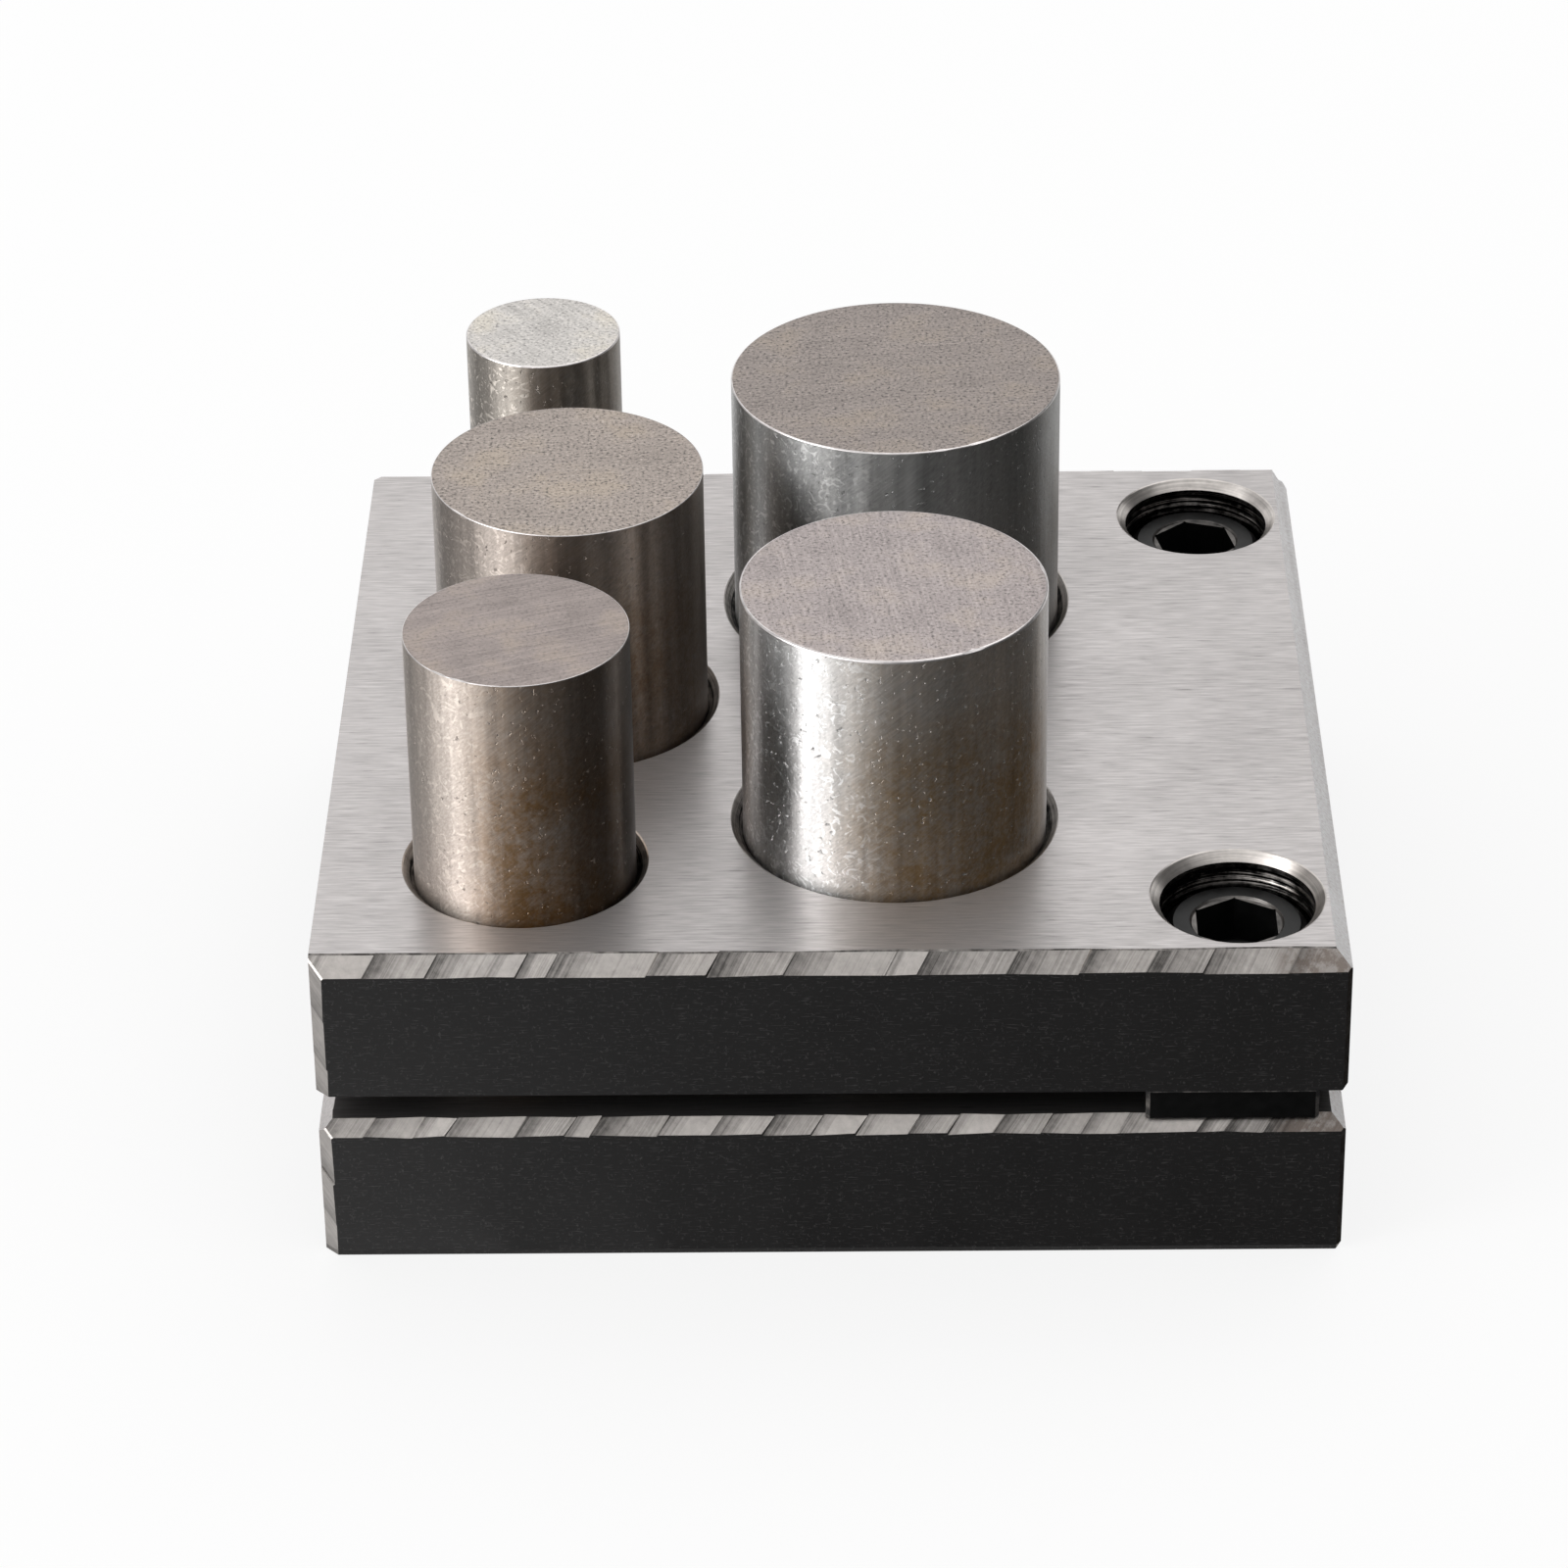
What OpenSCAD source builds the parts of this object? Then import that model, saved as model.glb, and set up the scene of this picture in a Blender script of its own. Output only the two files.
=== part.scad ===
// Disc cutter for sheet metal: five round punches stand in two drilled steel plates.
// A spacer bar along the right side holds the plates apart, so that a sheet slides in from the left.
// Millimetres. Z is up, X is to the right, and the front is towards -Y.
// The origin is the middle of the underside, on the bench.

/* [Plates] */
// Width of both plates, left to right
plate_width = 101.6; // [101:0.1:140]
// Depth of both plates, front to back
plate_depth = 101.6; // [101:0.1:140]
// Thickness of the upper plate, which guides the punches
upper_thick = 15.6; // [14:0.1:25]
// Thickness of the lower plate, which holds the dies
lower_thick = 15.6; // [13:0.1:25]

/* [Plate edges] */
// Milled chamfer on the front and back top edges of the upper plate
upper_edge = 1.75; // [0.8:0.05:2.5]
// Milled chamfer on the right top edge of the upper plate
upper_right_edge = 1.6; // [0.5:0.05:2]
// Milled chamfer on the four top edges of the lower plate
lower_edge = 1.4; // [0.5:0.05:2]
// Chamfer on the upright edge at the front left
corner_front_left = 1.3; // [0.3:0.05:4]
// Chamfer on the upright edge at the front right
corner_front_right = 0.5; // [0.3:0.05:4]
// Chamfer on the upright edge at the back left
corner_back_left = 2.5; // [0.3:0.05:4]
// Chamfer on the upright edge at the back right
corner_back_right = 3.2; // [0.3:0.05:4]

/* [Spacer bar] */
// Thickness of the spacer bar, which is the height of the slot for the sheet
spacer_thick = 3.5; // [1:0.1:5]
// Width of the spacer bar, left to right
spacer_width = 17.1; // [15:0.1:19]
// Distance of the spacer bar from the right side of the plates
spacer_side_gap = 2.7; // [1:0.1:4]
// Distance of the spacer bar's ends from the front and back of the plates
spacer_end_gap = 0.5; // [0.2:0.1:2]
// Broken edge all round the spacer bar
spacer_edge = 0.4; // [0.1:0.05:0.6]

/* [Punches] */
// Height of the punches above the upper plate
punch_rise = 26.7; // [15:0.1:60]
// Broken edge round the struck end of each punch
punch_top_edge = 0.3; // [0.1:0.05:1]
// Radial clearance between a punch and its holes
punch_fit = 0.05; // [0.02:0.01:0.08]
// Diameter of the front left punch
front_left_dia = 22.2; // [15:0.1:25]
// Diameter of the front right punch
front_right_dia = 30.6; // [20:0.1:34]
// Diameter of the middle left punch
middle_left_dia = 27.8; // [18:0.1:29]
// Diameter of the back left punch
back_left_dia = 16.4; // [10:0.1:22]
// Diameter of the back right punch
back_right_dia = 34.6; // [24:0.1:38]

/* [Punch holes] */
// Countersink round the mouth of each punch hole in the upper plate
mouth_edge = 1.1; // [0.3:0.05:1.5]
// Depth of the straight cutting part of each die, below the top of the lower plate
die_land = 6; // [3:0.1:9]
// Extra radius of each die below its cutting part, where the cut disc falls clear
die_relief = 0.4; // [0.2:0.05:0.8]

/* [Clamping screws] */
// Diameter of a screw head
head_dia = 14.2; // [12.5:0.1:15]
// Height of a screw head
head_height = 9.5; // [7:0.1:10]
// Broken edge round the top of a screw head
head_edge = 0.8; // [0.3:0.1:1]
// Distance across the flats of the hexagon socket
socket_flats = 7.94; // [6:0.01:8.5]
// Depth of the hexagon socket
socket_depth = 4.8; // [3:0.1:6]
// Largest diameter of the screw thread
thread_dia = 9.5; // [8:0.1:10]
// Depth of the screw thread
thread_depth = 0.85; // [0.4:0.05:1]
// Distance between two turns of the thread
thread_pitch = 1.6; // [1.2:0.1:2]
// Length of a screw below its head
screw_length = 19; // [14:0.1:21]
// Depth of a screw head below the top face
head_recess = 3; // [1:0.1:4]
// Radial clearance between a screw head and its counterbore
head_clearance = 0.6; // [0.2:0.05:1]
// Countersink round the mouth of each counterbore
counterbore_edge = 0.95; // [0.3:0.05:1.5]
// Turn of the front screw's hexagon, in degrees
front_socket_turn = 0; // [0:1:59]
// Turn of the back screw's hexagon, in degrees
back_socket_turn = 12; // [0:1:59]

/* [Dowel pins] */
// Diameter of the dowel pins that hold the plates in line
dowel_dia = 6.35; // [4:0.05:8]
// Distance of the blind dowel holes' ends from the outer faces of the plates
dowel_cover = 4; // [2:0.1:5]

/* [Hidden] */
$fn = 96;

// Cuts run past the faces that they start from by this much
overrun = 1;

// Heights of the faces of the stack, from the bench
lower_top = lower_thick;
upper_base = lower_top + spacer_thick;
stack_top = upper_base + upper_thick;

// Centres of the five punches, as shares of the plates' width and depth from their middle
front_left_shares = [-0.299, -0.318];
front_right_shares = [0.064, -0.236];
middle_left_shares = [-0.262, 0.003];
back_left_shares = [-0.299, 0.311];
back_right_shares = [0.07, 0.2035];

// One row for each punch: its centre and its diameter
function place_of(shares) = [shares[0] * plate_width, shares[1] * plate_depth];
PUNCHES = [
    [place_of(front_left_shares), front_left_dia],
    [place_of(front_right_shares), front_right_dia],
    [place_of(middle_left_shares), middle_left_dia],
    [place_of(back_left_shares), back_left_dia],
    [place_of(back_right_shares), back_right_dia]
];
punch_length = stack_top + punch_rise;
// A sharp arris at the cutting end is broken by a hair only
punch_cut_edge = 0.1;

// The spacer bar, and what goes through it, follows the right side of the plates
spacer_x = plate_width / 2 - spacer_side_gap - spacer_width / 2;
spacer_length = plate_depth - 2 * spacer_end_gap;
// The screws stand a little to the right of the bar's middle, near its two ends
screw_offset = 0.65;
screw_x = spacer_x + screw_offset;
front_screw_end = 11.3;
back_screw_end = 12.3;
front_screw_y = -plate_depth / 2 + front_screw_end;
back_screw_y = plate_depth / 2 - back_screw_end;
SCREW_PLACES = [[screw_x, front_screw_y], [screw_x, back_screw_y]];

// Screw sizes that follow from the sizes above
screw_clearance = 0.35;
thread_fit = 0.05;
counterbore_depth = head_recess + head_height;
head_seat = stack_top - counterbore_depth;
socket_mouth_edge = 0.3;
socket_round = socket_flats / cos(30);
drill_point_share = 0.35;
thread_turns = floor(screw_length / thread_pitch) - 1;
screw_tip_edge = 0.8;
neck_length = screw_length - thread_turns * thread_pitch;
// The tapped hole's rings start above the lower plate, a whole number of turns from the screw's
thread_top = head_seat - neck_length;
tapped_start = thread_top + ceil((lower_top - thread_top) / thread_pitch) * thread_pitch;
tapped_turns = ceil((tapped_start + overrun) / thread_pitch);
// Rings left by the boring tool in the wall of each counterbore
ridge_pitch = 0.6;
ridge_depth = 0.14;
ridge_count = max(1, floor((head_recess - counterbore_edge) / ridge_pitch));

// Dowel sizes and places: the pins stand in blind holes, each inwards of its screw
dowel_fit = 0.02;
dowel_play = 0.3;
dowel_edge = 0.6;
dowel_from_screw = 18;
dowel_base = dowel_cover + dowel_play;
dowel_length = stack_top - 2 * dowel_base;
DOWEL_PLACES = [
    [spacer_x, front_screw_y + dowel_from_screw],
    [spacer_x, back_screw_y - dowel_from_screw]
];
dowel_lead = 0.5;

// Colours
black_oxide = [0.13, 0.13, 0.13];
ground_steel = [0.72, 0.7, 0.69];
dark_steel = [0.36, 0.34, 0.31];
bright_steel = [0.6, 0.59, 0.57];
screw_black = [0.07, 0.07, 0.07];

// Outline of a plate, with its four upright edges chamfered
module plate_outline() {
    w = plate_width / 2;
    d = plate_depth / 2;
    polygon([
        [-w, -d + corner_front_left], [-w + corner_front_left, -d],
        [w - corner_front_right, -d], [w, -d + corner_front_right],
        [w, d - corner_back_right], [w - corner_back_right, d],
        [-w + corner_back_left, d], [-w, d - corner_back_left]
    ]);
}

// Long wedge that mills a 45 degree chamfer along X, at a top edge that faces the front
module edge_cut(size, length) {
    reach = size + overrun;
    rotate([90, 0, 90])
        linear_extrude(length, center = true)
            polygon([
                [-overrun, overrun],
                [reach, overrun],
                [-overrun, -reach]
            ]);
}

// Plate blank with its underside at zero, and with its top edges milled by the chamfers given
// for the front, right, back and left
module plate_blank(thick, edges) {
    w = plate_width / 2;
    d = plate_depth / 2;
    reaches = [d, w, d, w];
    difference() {
        linear_extrude(thick) plate_outline();
        for (side = [0 : 3])
            if (edges[side] > 0)
                rotate([0, 0, 90 * side])
                    translate([0, -reaches[side], thick])
                        edge_cut(edges[side], plate_width + plate_depth);
    }
}

// Cone that breaks the mouth of a hole whose mouth faces up at zero
module mouth_cut(radius, edge) {
    translate([0, 0, -edge])
        cylinder(h = edge + overrun, r1 = radius, r2 = radius + edge + overrun);
}

// Stack of rings with a sharp crest at each turn, going down from zero
module ring_stack(inner, outer, pitch, turns) {
    rotate_extrude()
        polygon(concat(
            [[0, 0]],
            [for (i = [0 : turns - 1], half = [0, 1])
                [half == 0 ? inner : outer, -(i + half / 2) * pitch]],
            [[inner, -turns * pitch], [0, -turns * pitch]]
        ));
}

module lower_plate() {
    color(black_oxide)
        difference() {
            plate_blank(lower_thick, [lower_edge, lower_edge, lower_edge, lower_edge]);
            for (p = PUNCHES)
                translate([p[0][0], p[0][1], 0]) {
                    hole = p[1] / 2 + punch_fit;
                    translate([0, 0, -overrun])
                        cylinder(h = lower_top + 2 * overrun, r = hole);
                    translate([0, 0, -overrun])
                        cylinder(h = lower_top - die_land + overrun, r = hole + die_relief);
                }
            for (s = SCREW_PLACES)
                translate([s[0], s[1], 0]) tapped_hole();
            for (s = DOWEL_PLACES)
                translate([s[0], s[1], dowel_cover])
                    cylinder(h = lower_top - dowel_cover + overrun, r = dowel_dia / 2 + dowel_fit);
        }
}

// Tapped hole through the lower plate, in step with the screw's rings
module tapped_hole() {
    outer = thread_dia / 2 + thread_fit;
    inner = outer - thread_depth;
    translate([0, 0, tapped_start])
        ring_stack(inner, outer, thread_pitch, tapped_turns);
    translate([0, 0, lower_top])
        mouth_cut(inner, thread_depth);
}

module upper_plate() {
    color(ground_steel)
        translate([0, 0, upper_base])
            difference() {
                plate_blank(upper_thick, [upper_edge, upper_right_edge, upper_edge, 0]);
                for (p = PUNCHES)
                    translate([p[0][0], p[0][1], 0]) {
                        hole = p[1] / 2 + punch_fit;
                        translate([0, 0, -overrun])
                            cylinder(h = upper_thick + 2 * overrun, r = hole);
                        translate([0, 0, upper_thick])
                            mouth_cut(hole, mouth_edge);
                    }
                for (s = SCREW_PLACES)
                    translate([s[0], s[1], upper_thick]) counterbored_hole();
                for (s = DOWEL_PLACES)
                    translate([s[0], s[1], -overrun])
                        cylinder(
                            h = upper_thick - dowel_cover + overrun,
                            r = dowel_dia / 2 + dowel_fit
                        );
            }
}

// Hole for a recessed screw, going down from the top face at zero
module counterbored_hole() {
    bore = head_dia / 2 + head_clearance;
    through = upper_thick + 2 * overrun;
    translate([0, 0, -counterbore_depth])
        cylinder(h = counterbore_depth + overrun, r = bore);
    mouth_cut(bore, counterbore_edge);
    translate([0, 0, -counterbore_edge])
        ring_stack(bore, bore + ridge_depth, ridge_pitch, ridge_count);
    translate([0, 0, overrun - through])
        cylinder(h = through, r = thread_dia / 2 + screw_clearance);
}

module spacer_bar() {
    w = spacer_width / 2;
    l = spacer_length / 2;
    e = spacer_edge;
    outline = [
        [-w + e, -l], [w - e, -l], [w, -l + e], [w, l - e],
        [w - e, l], [-w + e, l], [-w, l - e], [-w, -l + e]
    ];
    color(screw_black)
        difference() {
            translate([spacer_x, 0, lower_top])
                intersection() {
                    linear_extrude(spacer_thick) polygon(outline);
                    chamfered_prism(2 * l, w);
                    rotate([0, 0, 90]) chamfered_prism(2 * w, l);
                }
            for (s = SCREW_PLACES)
                translate([s[0], s[1], lower_top - overrun])
                    cylinder(h = spacer_thick + 2 * overrun, r = thread_dia / 2 + screw_clearance);
            for (s = DOWEL_PLACES)
                translate([s[0], s[1], lower_top - overrun])
                    cylinder(h = spacer_thick + 2 * overrun, r = dowel_dia / 2 + dowel_fit);
        }
}

// Bar along Y whose two top edges are broken, as wide as two halves
module chamfered_prism(length, half) {
    e = spacer_edge;
    rotate([90, 0, 0])
        linear_extrude(length + 2 * overrun, center = true)
            polygon([
                [-half, 0], [half, 0], [half, spacer_thick - e], [half - e, spacer_thick],
                [e - half, spacer_thick], [-half, spacer_thick - e]
            ]);
}

// Hardened pin with a lead at both ends, in the middle between the ends of its two holes
module dowel_pin(place) {
    r = dowel_dia / 2;
    color(bright_steel)
        translate([place[0], place[1], dowel_base])
            rotate_extrude()
                polygon([
                    [0, 0], [r - dowel_lead, 0], [r, dowel_edge],
                    [r, dowel_length - dowel_edge], [r - dowel_lead, dowel_length], [0, dowel_length]
                ]);
}

// Socket head cap screw, tight on the floor of its counterbore
module cap_screw(place, turn) {
    head = head_dia / 2;
    crest = thread_dia / 2;
    root = crest - thread_depth;
    socket_point = socket_round / 2 * drill_point_share;
    color(screw_black)
        translate([place[0], place[1], head_seat])
            difference() {
                union() {
                    rotate_extrude()
                        polygon([
                            [0, 0], [head, 0], [head, head_height - head_edge],
                            [head - head_edge, head_height], [0, head_height]
                        ]);
                    translate([0, 0, -neck_length - overrun])
                        cylinder(h = neck_length + 2 * overrun, r = root);
                    intersection() {
                        translate([0, 0, -neck_length])
                            ring_stack(root, crest, thread_pitch, thread_turns);
                        translate([0, 0, -screw_length])
                            cylinder(
                                h = screw_length,
                                r1 = crest - screw_tip_edge,
                                r2 = crest - screw_tip_edge + screw_length
                            );
                    }
                }
                rotate([0, 0, turn + 30])
                    translate([0, 0, head_height - socket_depth])
                        cylinder(h = socket_depth + overrun, d = socket_round, $fn = 6);
                translate([0, 0, head_height - socket_depth - socket_point])
                    cylinder(h = socket_point, r1 = 0, r2 = socket_flats / 2);
                translate([0, 0, head_height])
                    mouth_cut(socket_round / 2 - socket_mouth_edge / 2, socket_mouth_edge);
            }
}

// Round punch standing on the bench, through both plates
module punch(row) {
    r = row[1] / 2;
    color(dark_steel)
        translate([row[0][0], row[0][1], 0])
            rotate_extrude()
                polygon([
                    [0, 0], [r - punch_cut_edge, 0], [r, punch_cut_edge],
                    [r, punch_length - punch_top_edge], [r - punch_top_edge, punch_length],
                    [0, punch_length]
                ]);
}

lower_plate();
upper_plate();
spacer_bar();
dowel_pin(DOWEL_PLACES[0]);  // dowel_pin_front
dowel_pin(DOWEL_PLACES[1]);  // dowel_pin_back
cap_screw(SCREW_PLACES[0], front_socket_turn);  // cap_screw_front
cap_screw(SCREW_PLACES[1], back_socket_turn);  // cap_screw_back
punch(PUNCHES[0]);  // punch_front_left
punch(PUNCHES[1]);  // punch_front_right
punch(PUNCHES[2]);  // punch_middle_left
punch(PUNCHES[3]);  // punch_back_left
punch(PUNCHES[4]);  // punch_back_right
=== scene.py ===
"""Dresses a disc cutter for sheet metal: two drilled steel plates, five round punches, two screws.

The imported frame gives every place, in metres. Z is up, X is to the right towards the screws, and
the front is towards -Y. What a user may change stands in the property groups.
"""

import math
import random
from collections import namedtuple
from contextlib import contextmanager

import bmesh
import bpy
from bpy.props import FloatProperty, FloatVectorProperty, IntProperty, PointerProperty
from mathutils import Matrix, Vector


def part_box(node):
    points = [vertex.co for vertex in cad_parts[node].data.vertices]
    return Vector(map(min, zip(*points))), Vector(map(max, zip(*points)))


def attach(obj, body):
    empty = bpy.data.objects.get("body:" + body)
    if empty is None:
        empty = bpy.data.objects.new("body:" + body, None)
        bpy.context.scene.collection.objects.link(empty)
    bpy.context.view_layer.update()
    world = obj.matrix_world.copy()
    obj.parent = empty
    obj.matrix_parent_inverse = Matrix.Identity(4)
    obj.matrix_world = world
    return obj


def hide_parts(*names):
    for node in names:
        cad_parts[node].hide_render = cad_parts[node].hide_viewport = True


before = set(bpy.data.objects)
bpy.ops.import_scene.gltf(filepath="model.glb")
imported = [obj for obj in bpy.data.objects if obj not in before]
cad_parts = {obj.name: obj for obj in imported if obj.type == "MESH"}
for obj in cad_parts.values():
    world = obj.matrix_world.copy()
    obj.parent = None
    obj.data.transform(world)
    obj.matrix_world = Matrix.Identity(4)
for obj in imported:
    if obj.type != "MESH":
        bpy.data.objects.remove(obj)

bl_info = {
    "name": "Disc Cutter",
    "version": (1, 0, 0),
    "blender": (4, 5, 0),
    "location": "3D View > Sidebar > Disc Cutter",
    "description": "Models and finishes the plates, punches and screws of a disc cutter",
    "category": "Object",
}

MM = 0.001
BODY = "die_set"
SCREWS = {"cap_screw_front": 0, "cap_screw_back": 12}
DOWELS = ("dowel_pin_front", "dowel_pin_back")
UP = Vector((0, 0, 1))
DOWN = -UP
FRONT = Vector((0, -1, 0))
BACK = -FRONT
RIGHT = Vector((1, 0, 0))
LEFT = -RIGHT
# Cutters run past the faces that they start from by this much
OVERRUN = 1 * MM
# Corners and faces nearer than this to a plane or an axis count as on it, and a finer measure
NEAR = 0.01 * MM
NEARER = 0.001 * MM
# Cuts nearer than this to a corner, in metres, go through it
MERGE = 1e-7

# Where one pass of the end mill ends and the next begins, in mm from the middle of the front edge
UPPER_FRONT_PASSES = (
    -44.9, -38.8, -32.8, -30.0, -27.0, -17.3, -11.4, -3.9, 6.0, 9.1, 17.7, 24.8, 31.3, 36.9, 45.2,
)
LOWER_FRONT_PASSES = (
    -45.7, -40.8, -37.6, -30.8, -25.8, -23.3, -16.6, -11.3, -6.2, -1.4, 3.0, 8.2, 12.1, 16.5,
    21.3, 25.3, 28.9, 36.7, 39.4, 43.2,
)

# Ridges left by the boring tool below a counterbore's countersink: depth down and out, in mm
RIDGES = ((2.6, 0.0), (2.3, 0.12), (2.0, 0.02), (1.65, 0.2), (1.3, 0.03), (0.95, 0.16), (0.5, 0.0))

# The white world as light on the object and as what the eye sees, and the floor's glow and grey
WORLD_LIGHT = 0.55
WORLD_SEEN = 1.0
PAPER_GLOW = 0.8
PAPER_GREY = (0.27, 0.27, 0.27, 1)
WHITE = (1, 1, 1, 1)

# The studio round the object as gloss shows it: degrees to the right of the front, brightness of
# the floor and of the wall, and how far above the floor the wall begins, in mm
SURROUND = (
    (-165, 1.0, 1.2, 0), (-145, 0.9, 1.05, 0), (-125, 0.42, 0.5, 0), (-105, 0.5, 0.65, 0),
    (-90, 0.7, 1.8, 380),
    (-80, 1.1, 5.6, 380), (-68, 1.5, 8.2, 380), (-56, 1.55, 8.4, 380), (-44, 1.15, 5.4, 380),
    (-32, 0.68, 2.3, 380), (-18, 0.38, 0.95, 0), (-5, 0.22, 0.4, 0), (10, 0.12, 0.2, 0),
    (30, 0.07, 0.12, 0), (60, 0.06, 0.1, 0), (95, 0.07, 0.1, 0), (115, 0.6, 0.1, 0),
    (125, 1.4, 0.12, 300), (165, 1.4, 0.15, 300),
)
# How far off its wall stands, how high it is, how far its floor lies above the white one, and
# where that floor begins, no brighter than the wall and a little more
WALL_AWAY = 900 * MM
WALL_TOP = 950 * MM
CARD_LIFT = 0.5 * MM
CARD_START = 5 * MM
CARD_START_RISE = 0.3

# The kinds of node that recur
NOISE = "ShaderNodeTexNoise"
RANGE = "ShaderNodeMapRange"
MIX = "ShaderNodeMix"
MATH = "ShaderNodeMath"
MAPPING = "ShaderNodeMapping"
BUMP = "ShaderNodeBump"
COORDINATES = "ShaderNodeTexCoord"
ATTRIBUTE = "ShaderNodeAttribute"
PRINCIPLED = "ShaderNodeBsdfPrincipled"
OUTPUT = "ShaderNodeOutputMaterial"
EMISSION = "ShaderNodeEmission"

# Faint gold of heat on a ground end, as linear light
GOLDEN = (1.0, 0.96, 0.84, 1.0)
# The patterns of the punches are taken from places this far apart for each seed, in mm
SEED_STEP = 100

# How each punch looks: the colours of its end and its side, the direction of the grinding lines
# on the end, how pitted it is, how much brown stain is on the side, at which azimuth and how
# even, how much shade is painted on its right side, how bright the scuffs and painted glints on
# its left side are, how worn its rim is, the chips in the rim as azimuths, and the seed of its
# patterns
Look = namedtuple("Look", "end side grain pits stain towards even dusk scuffs rim chips seed")
PUNCHES = {
    "punch_front_left": Look(
        end="#938985", side="#b0a69e", grain=20, pits=0.35, stain=1.0, towards=-62, even=0.06,
        dusk=0.8, scuffs=0.2, rim=0.5, chips=(-118, -131), seed=1,
    ),
    "punch_front_right": Look(
        end="#a29997", side="#cfcecd", grain=98, pits=0.75, stain=0.95, towards=-61, even=0.2,
        dusk=0.0, scuffs=0.7, rim=1.6, chips=(-60, 12), seed=2,
    ),
    "punch_middle_left": Look(
        end="#9d938c", side="#9a918a", grain=10, pits=1.0, stain=0.7, towards=-60, even=0.05,
        dusk=0.1, scuffs=0.3, rim=0.5, chips=(-140,), seed=3,
    ),
    "punch_back_left": Look(
        end="#c4c0bc", side="#9a948d", grain=130, pits=0.7, stain=0.5, towards=-60, even=0.0,
        dusk=0.3, scuffs=0.7, rim=0.9, chips=(-100,), seed=4,
    ),
    "punch_back_right": Look(
        end="#908782", side="#a6a6a5", grain=10, pits=1.0, stain=0.3, towards=-20, even=0.05,
        dusk=0.2, scuffs=0.4, rim=1.0, chips=(-75, -55, -62), seed=5,
    ),
}


def linear(code):
    """An sRGB hex value as linear red, green and blue, with an alpha of one."""
    shares = [int(code[i:i + 2], 16) / 255 for i in (1, 3, 5)]
    return [s / 12.92 if s <= 0.04045 else ((s + 0.055) / 1.055) ** 2.4 for s in shares] + [1.0]


def length(name, description, millimetres):
    """A length property whose default is given in millimetres."""
    return FloatProperty(
        name=name,
        description=description,
        default=millimetres * MM,
        min=0.0,
        subtype="DISTANCE",
        unit="LENGTH",
        precision=5,
    )


def colour(name, description, code):
    """A colour property whose default is given as an sRGB hex value."""
    return FloatVectorProperty(
        name=name,
        description=description,
        default=linear(code),
        size=4,
        min=0.0,
        max=1.0,
        subtype="COLOR",
    )


class PlateSizes(bpy.types.PropertyGroup):
    """Sizes of the plates and their holes, beside those that the frame gives"""

    upper_edge: length("Upper edge", "Chamfer on the front and back of the upper plate", 1.75)
    upper_right_edge: length("Right edge", "Chamfer on the right of the upper plate", 1.6)
    lower_edge: length("Lower edge", "Chamfer on the top edges of the lower plate", 1.4)
    base_right_edge: length("Base edge", "Chamfer on the right of each plate's underside", 0.6)
    front_left: length("Front left corner", "Chamfer on the upright edge", 1.3)
    front_right: length("Front right corner", "Chamfer on the upright edge", 0.5)
    back_left: length("Back left corner", "Chamfer on the upright edge", 2.5)
    back_right: length("Back right corner", "Chamfer on the upright edge", 3.2)
    pass_lean: length("Lean", "Lean of the end mill's passes across a chamfer", 1.3)
    pass_step: length("Step", "Largest step between two passes of the end mill", 0.1)
    pass_line: length("Step width", "Width of the step between two passes", 0.12)
    burr: length("Burr", "Width of the burr along the front of the upper plate", 0.26)
    arris: length("Arris", "Width of the worn arris on the other edges", 0.07)
    corner_arris: length("Corner arris", "Width of the bright arris at the front left", 0.25)
    punch_fit: length("Punch fit", "Radial clearance of a punch in its holes", 0.05)
    mouth_edge: length("Mouth edge", "Countersink at the mouth of a punch hole", 1.1)
    die_land: length("Die land", "Depth of the straight cutting part of a die", 6.0)
    die_relief: length("Die relief", "Extra radius of a die below its cutting part", 0.4)
    head_clearance: length("Head clearance", "Radial clearance round a screw head", 0.6)
    counterbore_edge: length("Counterbore edge", "Countersink of a counterbore", 0.95)
    neck_clearance: length("Neck clearance", "Radial clearance round a screw's thread", 0.35)
    thread_fit: length("Thread fit", "Radial clearance of the thread", 0.05)
    dowel_fit: length("Dowel fit", "Radial clearance of a dowel pin", 0.02)
    dowel_play: length("Dowel play", "Room past each end of a dowel pin", 0.3)
    spacer_edge: length("Spacer edge", "Broken edge round the spacer bar", 0.4)
    spacer_arris: length("Spacer arris", "Width of the worn arris on the spacer bar's end", 0.14)


class ScrewSizes(bpy.types.PropertyGroup):
    """Sizes of a socket head cap screw"""

    head_height: length("Head height", "Height of the head", 9.5)
    head_edge: length("Head edge", "Broken edge round the top of the head", 0.8)
    socket_flats: length("Socket", "Distance across the flats of the hexagon", 7.94)
    socket_depth: length("Socket depth", "Depth of the hexagon", 4.8)
    thread_dia: length("Thread", "Largest diameter of the thread", 9.5)
    thread_depth: length("Thread depth", "Depth of the thread", 0.85)
    thread_pitch: length("Thread pitch", "Distance between two turns of the thread", 1.6)
    thread_turns: IntProperty(name="Turns", description="Turns of the thread", default=10, min=1)
    flutes: IntProperty(name="Flutes", description="Flutes round the head", default=72, min=12)
    flute_depth: length("Flute depth", "Depth of the flutes round the head", 0.15)
    socket_lip: length("Socket lip", "Worn edge at the mouth of the hexagon", 0.22)


class PunchSizes(bpy.types.PropertyGroup):
    """Sizes of the edges of a punch"""

    rim: length("Rim", "Round at the rim of the struck end", 0.16)
    cutting_edge: length("Cutting edge", "Arris at the cutting end", 0.1)
    chip: length("Chip", "Depth of the chips in the rim", 0.12)
    chip_reach: length("Chip reach", "How far to each side a chip goes", 0.7)


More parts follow.
